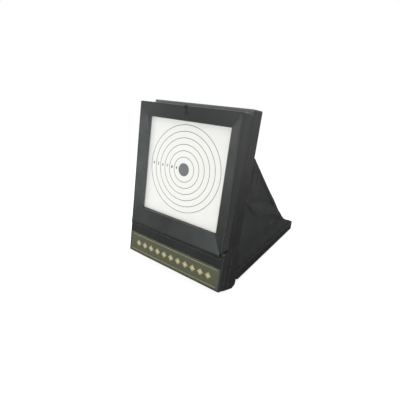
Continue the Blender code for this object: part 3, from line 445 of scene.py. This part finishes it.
def weave_group():
    """A plain weave on the cloth's own UV map, in metres."""
    if "Plain Weave" in bpy.data.node_groups:
        return bpy.data.node_groups["Plain Weave"]
    tree, g, source, out = new_group("Plain Weave", [("Thread", "NodeSocketFloat", 0.0006)],
                                     [("Height", "NodeSocketFloat"), ("Gap", "NodeSocketFloat"),
                                      ("Fuzz", "NodeSocketFloat")])
    uv = g.add("ShaderNodeUVMap", {"uv_map": "UVMap"}).outputs[0]
    split = g.add("ShaderNodeSeparateXYZ", None, Vector=uv)
    turns = g.math("DIVIDE", math.pi, source.outputs["Thread"])
    across = g.math("SINE", g.product(split.outputs["X"], turns))
    along = g.math("SINE", g.product(split.outputs["Y"], turns))
    g.feed(out.inputs["Height"], g.total(g.product(g.product(across, along), 0.5), 0.5))
    between = g.math("MINIMUM", g.magnitude(across), g.magnitude(along))
    g.feed(out.inputs["Gap"], g.ramp(between, 0.35, 0.0))
    g.feed(out.inputs["Fuzz"], g.noise(g.place(), 60.0, 6.0, 0.7))
    return tree


def group_node(g, tree, **inputs):
    """A node that uses a group, with the group's inputs given by name."""
    node = g.add("ShaderNodeGroup", {"node_tree": tree})
    for key, value in inputs.items():
        g.feed(node.inputs[key], value)
    return node


def new_material(name, **shader_values):
    """A material with its graph and its shader, whose constants are given by name."""
    material = bpy.data.materials.new(name)
    material.use_nodes = True
    shader = material.node_tree.nodes["Principled BSDF"]
    for key, value in shader_values.items():
        shader.inputs[key.replace("_", " ")].default_value = value
    return material, Graph(material.node_tree), shader


def moulded_plastic(name, color, roughness, specular, painted_top_light=1.0, top=0.0, reveal_light=0.0, notch=0.0,
                    scale=2200.0):
    """Black moulded plastic with grain, rubbed edges, painted highlights, painted light and shade in
    places, and a little dust.

    The factor after specular is on its colour towards the top: painted light that makes the top lighter.
    The next three are the shares of the worn-edge colour as painted light on the top band and as a painted
    reflection on the window's side walls, and of grime and painted shade in the notch.
    """
    material, g, shader = new_material(name, Specular_IOR_Level=specular)
    grain = group_node(g, grain_group(), Scale=scale).outputs
    wear_and_light = group_node(g, wear_and_light_group(), Width=EDGE_WIDTH).outputs
    moulded = g.mix(grain["Tone"], shade(color, 0.86), shade(color, 1.12))
    # Painted light: the colour grows lighter towards the top by that factor
    base = g.mix(g.ramp(g.height(), *PAINTED_TOP_LIGHT_Z), moulded, shade(color, painted_top_light))
    # Worn edges, and the same rubbed colour as painted highlights on rounded edges, painted light on the
    # top band and a painted reflection on the window's side walls
    rims = g.larger(g.product(wear_and_light["Wear"], 0.85), g.product(wear_and_light["Round Edge Highlight"], 0.28))
    for mask, share in (("Top", top), ("Reveal Light", reveal_light)):
        rims = g.larger(rims, g.product(wear_and_light[mask], share))
    rubbed = g.mix(rims, base, shade(WEAR_AND_HIGHLIGHT))
    dusty = g.mix(g.product(wear_and_light["Dust"], 0.2), rubbed, shade(DUST))
    # Grime and painted shade darken the notch
    g.feed(shader.inputs["Base Color"], g.mix(g.product(wear_and_light["Notch Grime And Shade"], notch), dusty, shade(GRIME_AND_SHADE)))
    rough = g.ramp(grain["Tone"], 0.0, 1.0, roughness - 0.05, roughness + 0.05)
    g.feed(shader.inputs["Roughness"], g.total(rough, g.product(wear_and_light["Dust"], 0.12)))
    g.feed(shader.inputs["Normal"], g.relief(0.35, 0.00004, grain["Height"], Normal=wear_and_light["Soft Normal"]))
    return material


def woven_cloth(name, color, thread, sheen, depth):
    """Closely woven cloth with thread gaps, lint and a soft sheen, with painted light that makes it a
    little paler towards its top.
    """
    material, g, shader = new_material(name, Roughness=0.8, Specular_IOR_Level=0.14, Sheen_Weight=sheen,
                                       Sheen_Roughness=0.45)
    weave = group_node(g, weave_group(), Thread=thread).outputs
    base = g.mix(weave["Gap"], shade(color), shade(color, 0.45))
    lint = g.ramp(weave["Fuzz"], 0.35, 0.75, 0.0, 0.5)
    linted = g.mix(lint, base, shade(color, 1.7))
    # Painted light: the cloth grows paler towards its top
    painted_paler_top = g.ramp(g.height(), *CLOTH_PAINTED_TOP_LIGHT_Z, 0.0, 0.2)
    g.feed(shader.inputs["Base Color"], g.mix(painted_paler_top, linted, shade(color, 2.6)))
    g.feed(shader.inputs["Normal"], g.relief(0.8, depth, weave["Height"]))
    return material


def bag_cloth(name, context):
    """The bag's cloth, in the colour and with the threads that the settings give."""
    color, thread = context.scene.holder_colors.cloth, context.scene.holder_sizes.thread
    return woven_cloth(name, tuple(color), thread, sheen=0.06, depth=0.0001)


def panel_coordinates(g):
    """The place, and across and up the leaning panel in millimetres from the rings' centre."""
    place = g.place()
    offset = g.add("ShaderNodeVectorMath", {"operation": "SUBTRACT"}, i0=place,
                   i1=(0.0, PANEL_Y * MM, PANEL_Z * MM)).outputs["Vector"]
    across = g.dot(offset, (1 / MM, 0.0, 0.0))
    up = g.dot(offset, (0.0, math.sin(LEAN) / MM, math.cos(LEAN) / MM))
    return place, across, up


def printed_paper(color, ink, line_width):
    """Off-white card printed with thin rings and a solid centre."""
    material, g, shader = new_material("printed_paper", Roughness=0.8, Specular_IOR_Level=0.25)
    place, across, up = panel_coordinates(g)
    radius = g.math("SQRT", g.total(g.product(across, across), g.product(up, up)))
    steps = g.math("DIVIDE", radius, RING_STEP)
    off = g.product(g.magnitude(g.math("SUBTRACT", steps, g.math("ROUND", steps))), RING_STEP)
    ring = g.ramp(off, line_width * 0.65, line_width * 0.35)
    drawn = g.math("LESS_THAN", steps, RING_STEPS_DRAWN)
    dot = g.ramp(radius, RING_STEP + PRINT_BLUR / 2, RING_STEP - PRINT_BLUR / 2)
    mark = g.larger(g.product(ring, drawn), dot)
    fibre = g.noise(place, 900.0, 5.0, 0.7)
    card = g.mix(g.ramp(fibre, 0.3, 0.7), shade(color), shade(color, 0.96))
    uneven = g.ramp(g.noise(place, 1500.0, 2.0), 0.2, 0.6, 0.88, 1.0)
    g.feed(shader.inputs["Base Color"], g.mix(g.product(mark, uneven), card, shade(ink)))
    g.feed(shader.inputs["Normal"], g.relief(0.2, 0.00005, fibre))
    return material


def printed_label(base, gold, pale):
    """Dark olive film with gold border lines and a row of plain diamonds."""
    material, g, shader = new_material("printed_label", Roughness=0.34, Specular_IOR_Level=0.5,
                                       Coat_Weight=0.15, Coat_Roughness=0.12)
    place, across, up = panel_coordinates(g)
    from_middle = g.magnitude(across)
    from_centre_line = g.magnitude(g.total(up, -LABEL_V))
    off_line = g.magnitude(g.math("SUBTRACT", from_centre_line, BORDER_LINE_V))
    border = g.product(g.ramp(off_line, 0.42, 0.22), g.math("LESS_THAN", from_middle, BORDER_LINE_END_X))
    # Whole cells keep the number positive, and the half puts a diamond in the middle
    cell = g.math("FRACT", g.total(g.math("DIVIDE", across, DIAMOND_STEP), 100.5))
    from_cell = g.magnitude(g.product(g.math("SUBTRACT", cell, 0.5), DIAMOND_STEP))
    reach = g.total(from_cell, from_centre_line)
    row = g.math("LESS_THAN", from_middle, DIAMOND_ROW_END_X)
    diamond, heart = [g.product(g.ramp(reach, size + PRINT_BLUR, size - PRINT_BLUR), row)
                      for size in (DIAMOND_REACH, DIAMOND_HEART_REACH)]
    grain = g.noise(place, 700.0, 4.0)
    film = g.mix(g.ramp(grain, 0.3, 0.7), shade(base), shade(base, 1.25))
    rubbed = g.ramp(g.noise(place, 260.0, 5.0, 0.7), 0.25, 0.45, 0.7, 1.0)
    inked = g.mix(g.product(g.larger(border, diamond), rubbed), film, shade(gold))
    g.feed(shader.inputs["Base Color"], g.mix(heart, inked, shade(pale)))
    g.feed(shader.inputs["Normal"], g.relief(0.15, 0.00003, grain))
    return material


def plated_steel(name, low, high, roughness):
    """Plated or blackened steel with a cloudy finish and fine grain."""
    material, g, shader = new_material(name, Metallic=1.0)
    place = g.place()
    haze = g.noise(place, 600.0, 5.0, 0.6)
    g.feed(shader.inputs["Base Color"], g.mix(haze, shade(low), shade(high)))
    g.feed(shader.inputs["Roughness"], g.ramp(haze, 0.2, 0.8, roughness - 0.1, roughness + 0.1))
    g.feed(shader.inputs["Normal"], g.relief(0.3, 0.00002, g.noise(place, 3000.0, 2.0)))
    return material


def number_ink():
    """Dark ink of the ring numbers, slightly uneven."""
    material, g, shader = new_material("number_ink", Roughness=0.8, Specular_IOR_Level=0.25)
    dark, light = NUMBER_INK
    cloudy = g.noise(g.place(), 900.0)
    g.feed(shader.inputs["Base Color"], g.mix(cloudy, shade(dark), shade(light)))
    return material


def give(names, material):
    """Put one material on CAD nodes."""
    for name in names:
        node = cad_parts[name]
        node.data.materials.clear()
        node.data.materials.append(material)


def begin():
    """Object mode, with nothing selected."""
    if bpy.context.object and bpy.context.object.mode != "OBJECT":
        bpy.ops.object.mode_set(mode="OBJECT")
    bpy.ops.object.select_all(action="DESELECT")


def apply_place():
    """Move the selected object's place, turn and scale into its mesh."""
    bpy.ops.object.transform_apply(location=True, rotation=True, scale=True)


def sheet_piece(name, place, rows, columns, size, thickness, material):
    """A sheet whose point at shares (u, t) stands at place(u, t), in millimetres."""
    begin()
    bpy.ops.mesh.primitive_grid_add(x_subdivisions=columns - 1, y_subdivisions=rows - 1, size=1.0)
    piece = bpy.context.object
    piece.name = piece.data.name = name
    for vertex in piece.data.vertices:
        vertex.co = place(vertex.co.x + 0.5, vertex.co.y + 0.5) * MM
    for corner in piece.data.uv_layers.active.data:
        corner.uv = (corner.uv[0] * size[0] * MM, corner.uv[1] * size[1] * MM)
    wall = piece.modifiers.new("Thickness", "SOLIDIFY")
    wall.thickness = thickness * MM
    wall.offset = 0.0
    bpy.ops.object.modifier_apply(modifier=wall.name)
    bpy.ops.object.mode_set(mode="EDIT")
    bpy.ops.mesh.select_all(action="SELECT")
    bpy.ops.mesh.normals_make_consistent(inside=False)
    bpy.ops.object.mode_set(mode="OBJECT")
    bpy.ops.object.shade_smooth()
    piece.data.materials.append(material)
    return piece


def crumple(piece):
    """The piece rides on the upright, with a mesh of its own."""
    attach(piece, "upright")
    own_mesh(piece)


def rear_edge(t):
    """World (y, z) of the bag's seam between side and back, from the frame to the tray."""
    point = curve_through(REAR_EDGE, t)
    return Vector((PANEL_Y + point.x, point.y))


def side_front(t):
    """World (y, z) of the side cloth's front edge, from its top down to the tray."""
    stops = [*[panel(0, d, v) for d, v in SIDE_FRONT], tray(0, *SIDE_FOOT)]
    return line_through([p.yz for p in stops], t)


def fold_relief(point, t, spread, billow):
    """How far the fold, the crease over it and two streaks move the side cloth out at a (y, z) point."""
    run = FOLD_END - FOLD_START
    along = (point - FOLD_START).dot(run) / run.length
    above = (point - FOLD_START).cross(run) / run.length * -1.0
    low = FOLD_LOW - FOLD_DROOP * bump(along, FOLD_DROOP_AT, FOLD_DROOP_WIDTH)
    high = FOLD_HIGH + FOLD_WIDENING * along
    rise = (above - low) / max(high - low, 1.0)
    ends = smooth_step(*FOLD_FADE_IN, along) * smooth_step(*FOLD_FADE_OUT, along)
    roll = smooth_step(-0.08, 0.14, rise) * (1.0 - 0.85 * smooth_step(0.55, 0.95, rise))
    crease = bump(above, high + CREASE_RISE, CREASE_WIDTH)
    body = smooth_step(high, high + BODY_HEIGHT, above) * smooth_step(0.0, 0.2, t)
    out = billow * (ROLL_OUT * roll * ends - CREASE_IN * crease * ends + BODY_OUT * body
                    - STRETCH_IN * spread)
    out -= SINK_BELOW_FOLD * smooth_step(low + 2.0, low - 14.0, above)
    streaks = sum(bump(along, middle - STREAK_SLANT * (above - height), width)
                  for middle, height, width in STREAKS)
    return out + STREAK_DEPTH * streaks * bump(above, STREAK_ABOVE, STREAK_LENGTH)


def side_x(point, t, u, billow):
    """How far out the side cloth stands at a (y, z) point, t down and u back along the cloth."""
    behind = ((point.x - PANEL_Y) * math.cos(LEAN) - (point.y - PANEL_Z) * math.sin(LEAN)
              - FRAME_BACK_D)
    over_tray = (point.y - AXIS_Z) * math.cos(TRAY_TILT) + (point.x - AXIS_Y) * math.sin(TRAY_TILT)
    straight = smooth_step(*STRAIGHT_OVER_TRAY, over_tray)
    spread = max(smooth_step(*SPREAD_BEHIND, behind), straight * smooth_step(*SPREAD_BEHIND_LOW, behind))
    x = (SIDE_X + SIDE_SPREAD * spread * smooth_step(0.0, 0.6, t)
         + TRAY_FLARE * spread * smooth_step(*FLARE_OVER_TRAY, over_tray))
    free = smooth_step(*FREE_BEHIND, behind) * smooth_step(1.0, 0.93, u)
    return x + fold_relief(point, t, spread, billow) * (1.0 - straight) * free


def back_place(u, t):
    """Where the back cloth stands, u across and t down it."""
    seam_t = max(t - SEAM_START, 0) / (SEAM_END - SEAM_START)
    if t < SEAM_START:
        top = [panel(0, FLANGE_D + 0.7, v).yz for v in BACK_TOP_V]
        point = line_through([*top, rear_edge(0.0)], t / SEAM_START)
    elif t < SEAM_END:
        point = rear_edge(seam_t)
    else:
        low = [tray(0, BACK_LOW_S, h).yz for h in BACK_LOW_H]
        point = line_through(low, (t - SEAM_END) / (1.0 - SEAM_END))
    edge = side_x(rear_edge(seam_t), seam_t, 1.0, 0.0) - BACK_SIDE_GAP
    half = BACK_TOP_HALF + (edge - BACK_TOP_HALF) * smooth_step(0.05, SEAM_START, t)
    share = 2 * u - 1
    x = half * share
    loose = smooth_step(0.06, 0.3, t) * smooth_step(0.95, 0.8, t) * (1 - abs(share) ** 3)
    sway = 1.4 * math.sin(t * 5.0)
    fold = BACK_FOLD * loose * math.cos(x * BACK_FOLD_RATE + sway) * (1.0 - 0.4 * t)
    wave = BACK_WAVE * loose * math.sin(x * BACK_WAVE_RATE - t * 11.0)
    depth = DEPTH_SHARE * (fold + wave - BACK_SAG * loose)
    return Vector((x, point.x + depth, point.y + depth))


def tape_place(side, u, t):
    """Where the tape over a seam stands, u round it and t down the seam."""
    t = TAPE_FROM + TAPE_REACH * t
    point, ahead = rear_edge(t), rear_edge(t + 0.01)
    run = (ahead - point).normalized()
    outward = Vector((run.y, -run.x))
    angle = 2 * math.pi * u
    x = side_x(point, t, 1.0, 0.0) - TAPE_INSET + TAPE_HALF_X * math.cos(angle)
    point = point + outward * (TAPE_LIFT + TAPE_HALF_WIDTH * math.sin(angle))
    return Vector((side * x, *point))


class HolderSizes(bpy.types.PropertyGroup):
    """Sizes of the pieces made here, in metres."""
    cloth_thickness: bpy.props.FloatProperty(
        name="Cloth thickness", description="Thickness of the bag's cloth",
        default=0.0008, min=0.0003, max=0.002, unit="LENGTH")
    billow: bpy.props.FloatProperty(
        name="Billow", description="How far the side cloth stands out over its fold",
        default=0.0026, min=0.0, max=0.01, unit="LENGTH")
    thread: bpy.props.FloatProperty(
        name="Thread pitch", description="Distance between threads of the cloth",
        default=0.0006, min=0.0002, max=0.002, unit="LENGTH")
    ring_line: bpy.props.FloatProperty(
        name="Ring line", description="Width of the printed ring lines",
        default=0.0008, min=0.0002, max=0.002, unit="LENGTH")
    number_height: bpy.props.FloatProperty(
        name="Number height", description="Height of the ring numbers",
        default=0.0055, min=0.001, max=0.008, unit="LENGTH")


class HolderColors(bpy.types.PropertyGroup):
    """Colours of the finishes, linear."""
    plastic: bpy.props.FloatVectorProperty(
        name="Plastic", description="Moulded black plastic", subtype="COLOR",
        default=(0.026, 0.0275, 0.0262), min=0.0, max=1.0)
    cloth: bpy.props.FloatVectorProperty(
        name="Cloth", description="Woven bag cloth", subtype="COLOR",
        default=(0.0325, 0.0335, 0.0335), min=0.0, max=1.0)
    paper: bpy.props.FloatVectorProperty(
        name="Paper", description="Target card", subtype="COLOR",
        default=(0.85, 0.825, 0.785), min=0.0, max=1.0)
    ink: bpy.props.FloatVectorProperty(
        name="Ink", description="Ring ink", subtype="COLOR",
        default=(0.15, 0.15, 0.15), min=0.0, max=1.0)
    film: bpy.props.FloatVectorProperty(
        name="Film", description="Label film", subtype="COLOR",
        default=(0.05, 0.054, 0.026), min=0.0, max=1.0)
    gold: bpy.props.FloatVectorProperty(
        name="Gold", description="Label print", subtype="COLOR",
        default=(0.36, 0.3, 0.13), min=0.0, max=1.0)


class HOLDER_OT_mould(bpy.types.Operator):
    """Give the moulded frames, door, tray and strips their plastic"""
    bl_idname = "holder.mould"
    bl_label = "Finish moulded parts"

    def execute(self, context):
        plastic = tuple(context.scene.holder_colors.plastic)
        for name, nodes, share, finish in MOULDINGS:
            give(nodes, moulded_plastic(name, tuple(c * share for c in plastic), **finish))
        return {"FINISHED"}


class HOLDER_OT_steel(bpy.types.Operator):
    """Give the screws, pins and rivets their steel"""
    bl_idname = "holder.steel"
    bl_label = "Finish screws, pins and rivets"

    def execute(self, context):
        bright = [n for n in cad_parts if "screw" in n or "rivet" in n]
        pins = [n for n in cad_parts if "pin" in n]
        if not bright or not pins:
            raise RuntimeError("no steel nodes in the frame")
        give(bright, plated_steel("bright_steel", *BRIGHT_STEEL, roughness=0.35))
        give(pins, plated_steel("blackened_steel", *BLACKENED_STEEL, roughness=0.55))
        return {"FINISHED"}


class HOLDER_OT_target(bpy.types.Operator):
    """Print the target card and its ring numbers"""
    bl_idname = "holder.target"
    bl_label = "Print target card"

    def execute(self, context):
        colors, sizes = context.scene.holder_colors, context.scene.holder_sizes
        give(["target_paper"], printed_paper(tuple(colors.paper), tuple(colors.ink), sizes.ring_line / MM))
        ink = number_ink()
        numbers = [self.print_number(context, ring, figure) for ring, figure in enumerate(RING_FIGURES)]
        begin()
        for number in numbers:
            number.select_set(True)
        context.view_layer.objects.active = numbers[0]
        bpy.ops.object.join()
        piece = context.object
        piece.name = piece.data.name = "ring_numbers"
        piece.data.materials.clear()
        piece.data.materials.append(ink)
        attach(piece, "upright")
        return {"FINISHED"}

    def print_number(self, context, ring, figure):
        """One figure between two rings, as a flat mesh just off the paper."""
        begin()
        bpy.ops.object.text_add(location=panel(-(ring + 1.5) * RING_STEP, -NUMBER_STANDOFF, 0) * MM,
                                rotation=(math.radians(90) - LEAN, 0, 0))
        number = context.object
        number.data.body = figure
        number.data.size = context.scene.holder_sizes.number_height
        number.data.offset = NUMBER_WEIGHT * MM
        number.data.align_x = "CENTER"
        number.data.align_y = "CENTER"
        bpy.ops.object.convert(target="MESH")
        apply_place()
        return context.object


class HOLDER_OT_label(bpy.types.Operator):
    """Print the strip on the lower front cover"""
    bl_idname = "holder.label"
    bl_label = "Print label strip"

    def execute(self, context):
        colors = context.scene.holder_colors
        give(["label_plate"], printed_label(tuple(colors.film), tuple(colors.gold), PALE_PRINT))
        return {"FINISHED"}


class HOLDER_OT_side_cloth(bpy.types.Operator):
    """Hang the bag's two side panels, with the fold over each stay strap"""
    bl_idname = "holder.side_cloth"
    bl_label = "Hang side cloth"

    def execute(self, context):
        sizes = context.scene.holder_sizes
        cloth = bag_cloth("side_cloth", context)
        for side, word in SIDES:
            def place(u, t, side=side):
                point = side_front(t).lerp(rear_edge(t), u)
                return Vector((side * side_x(point, t, u, sizes.billow / MM), *point))
            piece = sheet_piece(f"side_cloth_{word}", place, **SIDE_GRID,
                                thickness=sizes.cloth_thickness / MM, material=cloth)
            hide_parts(f"net_side_{word}")
            crumple(piece)
        return {"FINISHED"}


class HOLDER_OT_back_cloth(bpy.types.Operator):
    """Hang the bag's back panel from the top strip to the tray, and bind its seams"""
    bl_idname = "holder.back_cloth"
    bl_label = "Hang back cloth"

    def execute(self, context):
        cloth = bag_cloth("back_cloth", context)
        piece = sheet_piece("back_cloth", back_place, **BACK_GRID, material=cloth,
                            thickness=context.scene.holder_sizes.cloth_thickness / MM)
        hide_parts("net_back")
        bindings = self.bind_seams(tuple(context.scene.holder_colors.cloth))
        crumple(piece)
        return {"FINISHED"}

    def bind_seams(self, color):
        """A bound edge along each seam between a side panel and the back panel."""
        bindings = []
        tape = woven_cloth("binding_tape", tuple(c * 1.15 for c in color), thread=0.0011, sheen=0.3,
                           depth=0.0002)
        for side, word in SIDES:
            def place(u, t, side=side):
                return tape_place(side, u, t)
            piece = sheet_piece(f"seam_binding_{word}", place, **TAPE_GRID, thickness=TAPE_THICKNESS,
                                material=tape)
            crumple(piece)
            bindings.append(piece)
        return bindings


class HOLDER_OT_straps(bpy.types.Operator):
    """Stretch the stay straps inside the bag"""
    bl_idname = "holder.straps"
    bl_label = "Stretch stay straps"

    def execute(self, context):
        webbing = woven_cloth("strap_webbing", STRAP_COLOR, thread=0.0014, sheen=0.2, depth=0.0003)
        start, stop = panel(*STRAP_TOP), tray(*STRAP_LOW)
        run = (stop - start).normalized()
        wide = run.cross(Vector((1, 0, 0))).normalized()
        for side, word in SIDES:
            def place(u, t, side=side):
                point = start.lerp(stop, STRAP_FROM + STRAP_REACH * t) + wide * STRAP_WIDTH * (u - 0.5)
                return Vector((side * point.x, point.y, point.z))
            piece = sheet_piece(f"strap_{word}", place, **STRAP_GRID, thickness=STRAP_THICKNESS,
                                material=webbing)
            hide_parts(f"stay_strap_{word}")
            crumple(piece)
        return {"FINISHED"}


class HOLDER_OT_stage(bpy.types.Operator):
    """Set the floor, the soft lights, the white surroundings and the camera"""
    bl_idname = "holder.stage"
    bl_label = "Set stage"

    def execute(self, context):
        self.lay_floor(context)
        self.light_world(context)
        self.hang_lamps(context)
        self.set_camera(context)
        context.scene.view_settings.view_transform = "Standard"
        return {"FINISHED"}

    def lay_floor(self, context):
        """A floor that takes the shadow near the holder and shows white further off."""
        begin()
        bpy.ops.mesh.primitive_circle_add(vertices=96, radius=FLOOR_RADIUS, fill_type="NGON",
                                          location=(0, 0, -FLOOR_DROP))
        floor = context.object
        floor.name = floor.data.name = "studio_floor"
        apply_place()
        material = bpy.data.materials.new("studio_floor")
        material.use_nodes = True
        g = Graph(material.node_tree)
        g.tree.nodes.remove(g.tree.nodes["Principled BSDF"])
        away = g.add("ShaderNodeVectorMath", {"operation": "LENGTH"}, i0=g.place()).outputs["Value"]
        seen = g.add("ShaderNodeLightPath").outputs
        direct = g.larger(seen["Is Camera Ray"], seen["Is Transmission Ray"])
        shown = g.larger(direct, seen["Is Glossy Ray"])
        far = g.product(g.ramp(away, *FLOOR_FADE), shown)
        matte = g.add("ShaderNodeBsdfDiffuse", None, Color=shade(FLOOR_TONE))
        white = g.add("ShaderNodeEmission", None, Color=WHITE, Strength=1.0)
        lift = g.add("ShaderNodeEmission", None, Color=WHITE, Strength=g.product(direct, FLOOR_LIFT))
        near = g.add("ShaderNodeAddShader", None, i0=matte, i1=lift)
        blend = g.add("ShaderNodeMixShader", None, i0=far, i1=near, i2=white)
        g.feed(g.tree.nodes["Material Output"].inputs["Surface"], blend)
        floor.data.materials.append(material)

    def light_world(self, context):
        """Soft light from all round, which camera, glossy and transmission rays see as white."""
        world = bpy.data.worlds.new("studio_world")
        context.scene.world = world
        world.use_nodes = True
        g = Graph(world.node_tree)
        soft = world.node_tree.nodes["Background"]
        soft.inputs["Color"].default_value = WHITE
        soft.inputs["Strength"].default_value = WORLD_LIGHT
        white = g.add("ShaderNodeBackground", None, Color=WHITE, Strength=1.0)
        seen = g.add("ShaderNodeLightPath").outputs
        indirect = g.larger(seen["Is Glossy Ray"], seen["Is Transmission Ray"])
        shown = g.larger(seen["Is Camera Ray"], indirect)
        mixed = g.add("ShaderNodeMixShader", None, i0=shown, i1=soft, i2=white)
        g.feed(world.node_tree.nodes["World Output"].inputs["Surface"], mixed)

    def hang_lamps(self, context):
        """The soft lamps, aimed at the holder."""
        for name, spot, width, height, power, color in LAMPS:
            begin()
            bpy.ops.object.light_add(type="AREA", location=spot)
            lamp = context.object
            lamp.name = name
            lamp.data.shape = "ELLIPSE"
            lamp.data.size = width
            lamp.data.size_y = height
            lamp.data.energy = power
            lamp.data.color = color
            lamp.rotation_euler = (Vector(spot) - Vector(LAMP_AIM)).to_track_quat("Z", "Y").to_euler()

    def set_camera(self, context):
        """The camera of the photograph, as fitted to the printed rings and the window."""
        bpy.ops.object.camera_add(location=Vector(CAMERA_PLACE) * MM,
                                  rotation=[math.radians(a) for a in CAMERA_TURN])
        camera = context.object
        camera.data.sensor_width = CAMERA_SENSOR
        camera.data.lens = CAMERA_LENS
        camera.data.clip_start = 0.01
        context.scene.camera = camera


STEPS = (HOLDER_OT_mould, HOLDER_OT_steel, HOLDER_OT_target, HOLDER_OT_label, HOLDER_OT_side_cloth,
         HOLDER_OT_back_cloth, HOLDER_OT_straps, HOLDER_OT_stage)


class HOLDER_PT_panel(bpy.types.Panel):
    """Sizes, colours and steps of the target holder"""
    bl_label = "Target Holder"
    bl_idname = "HOLDER_PT_panel"
    bl_space_type = "VIEW_3D"
    bl_region_type = "UI"
    bl_category = "Target Holder"

    def draw(self, context):
        for group in (context.scene.holder_sizes, context.scene.holder_colors):
            box = self.layout.box()
            for key in group.bl_rna.properties.keys():
                if key not in {"rna_type", "name"}:
                    box.prop(group, key)
        for step in STEPS:
            self.layout.operator(step.bl_idname)


CLASSES = (HolderSizes, HolderColors, *STEPS, HOLDER_PT_panel)


def register():
    for entry in CLASSES:
        bpy.utils.register_class(entry)
    bpy.types.Scene.holder_sizes = bpy.props.PointerProperty(type=HolderSizes)
    bpy.types.Scene.holder_colors = bpy.props.PointerProperty(type=HolderColors)


def unregister():
    del bpy.types.Scene.holder_colors
    del bpy.types.Scene.holder_sizes
    for entry in reversed(CLASSES):
        bpy.utils.unregister_class(entry)


def main():
    """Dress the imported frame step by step."""
    register()
    bpy.ops.holder.mould()
    bpy.ops.holder.steel()
    bpy.ops.holder.target()
    bpy.ops.holder.label()
    bpy.ops.holder.side_cloth()
    bpy.ops.holder.back_cloth()
    bpy.ops.holder.straps()
    bpy.ops.holder.stage()


if __name__ == "__main__":
    main()
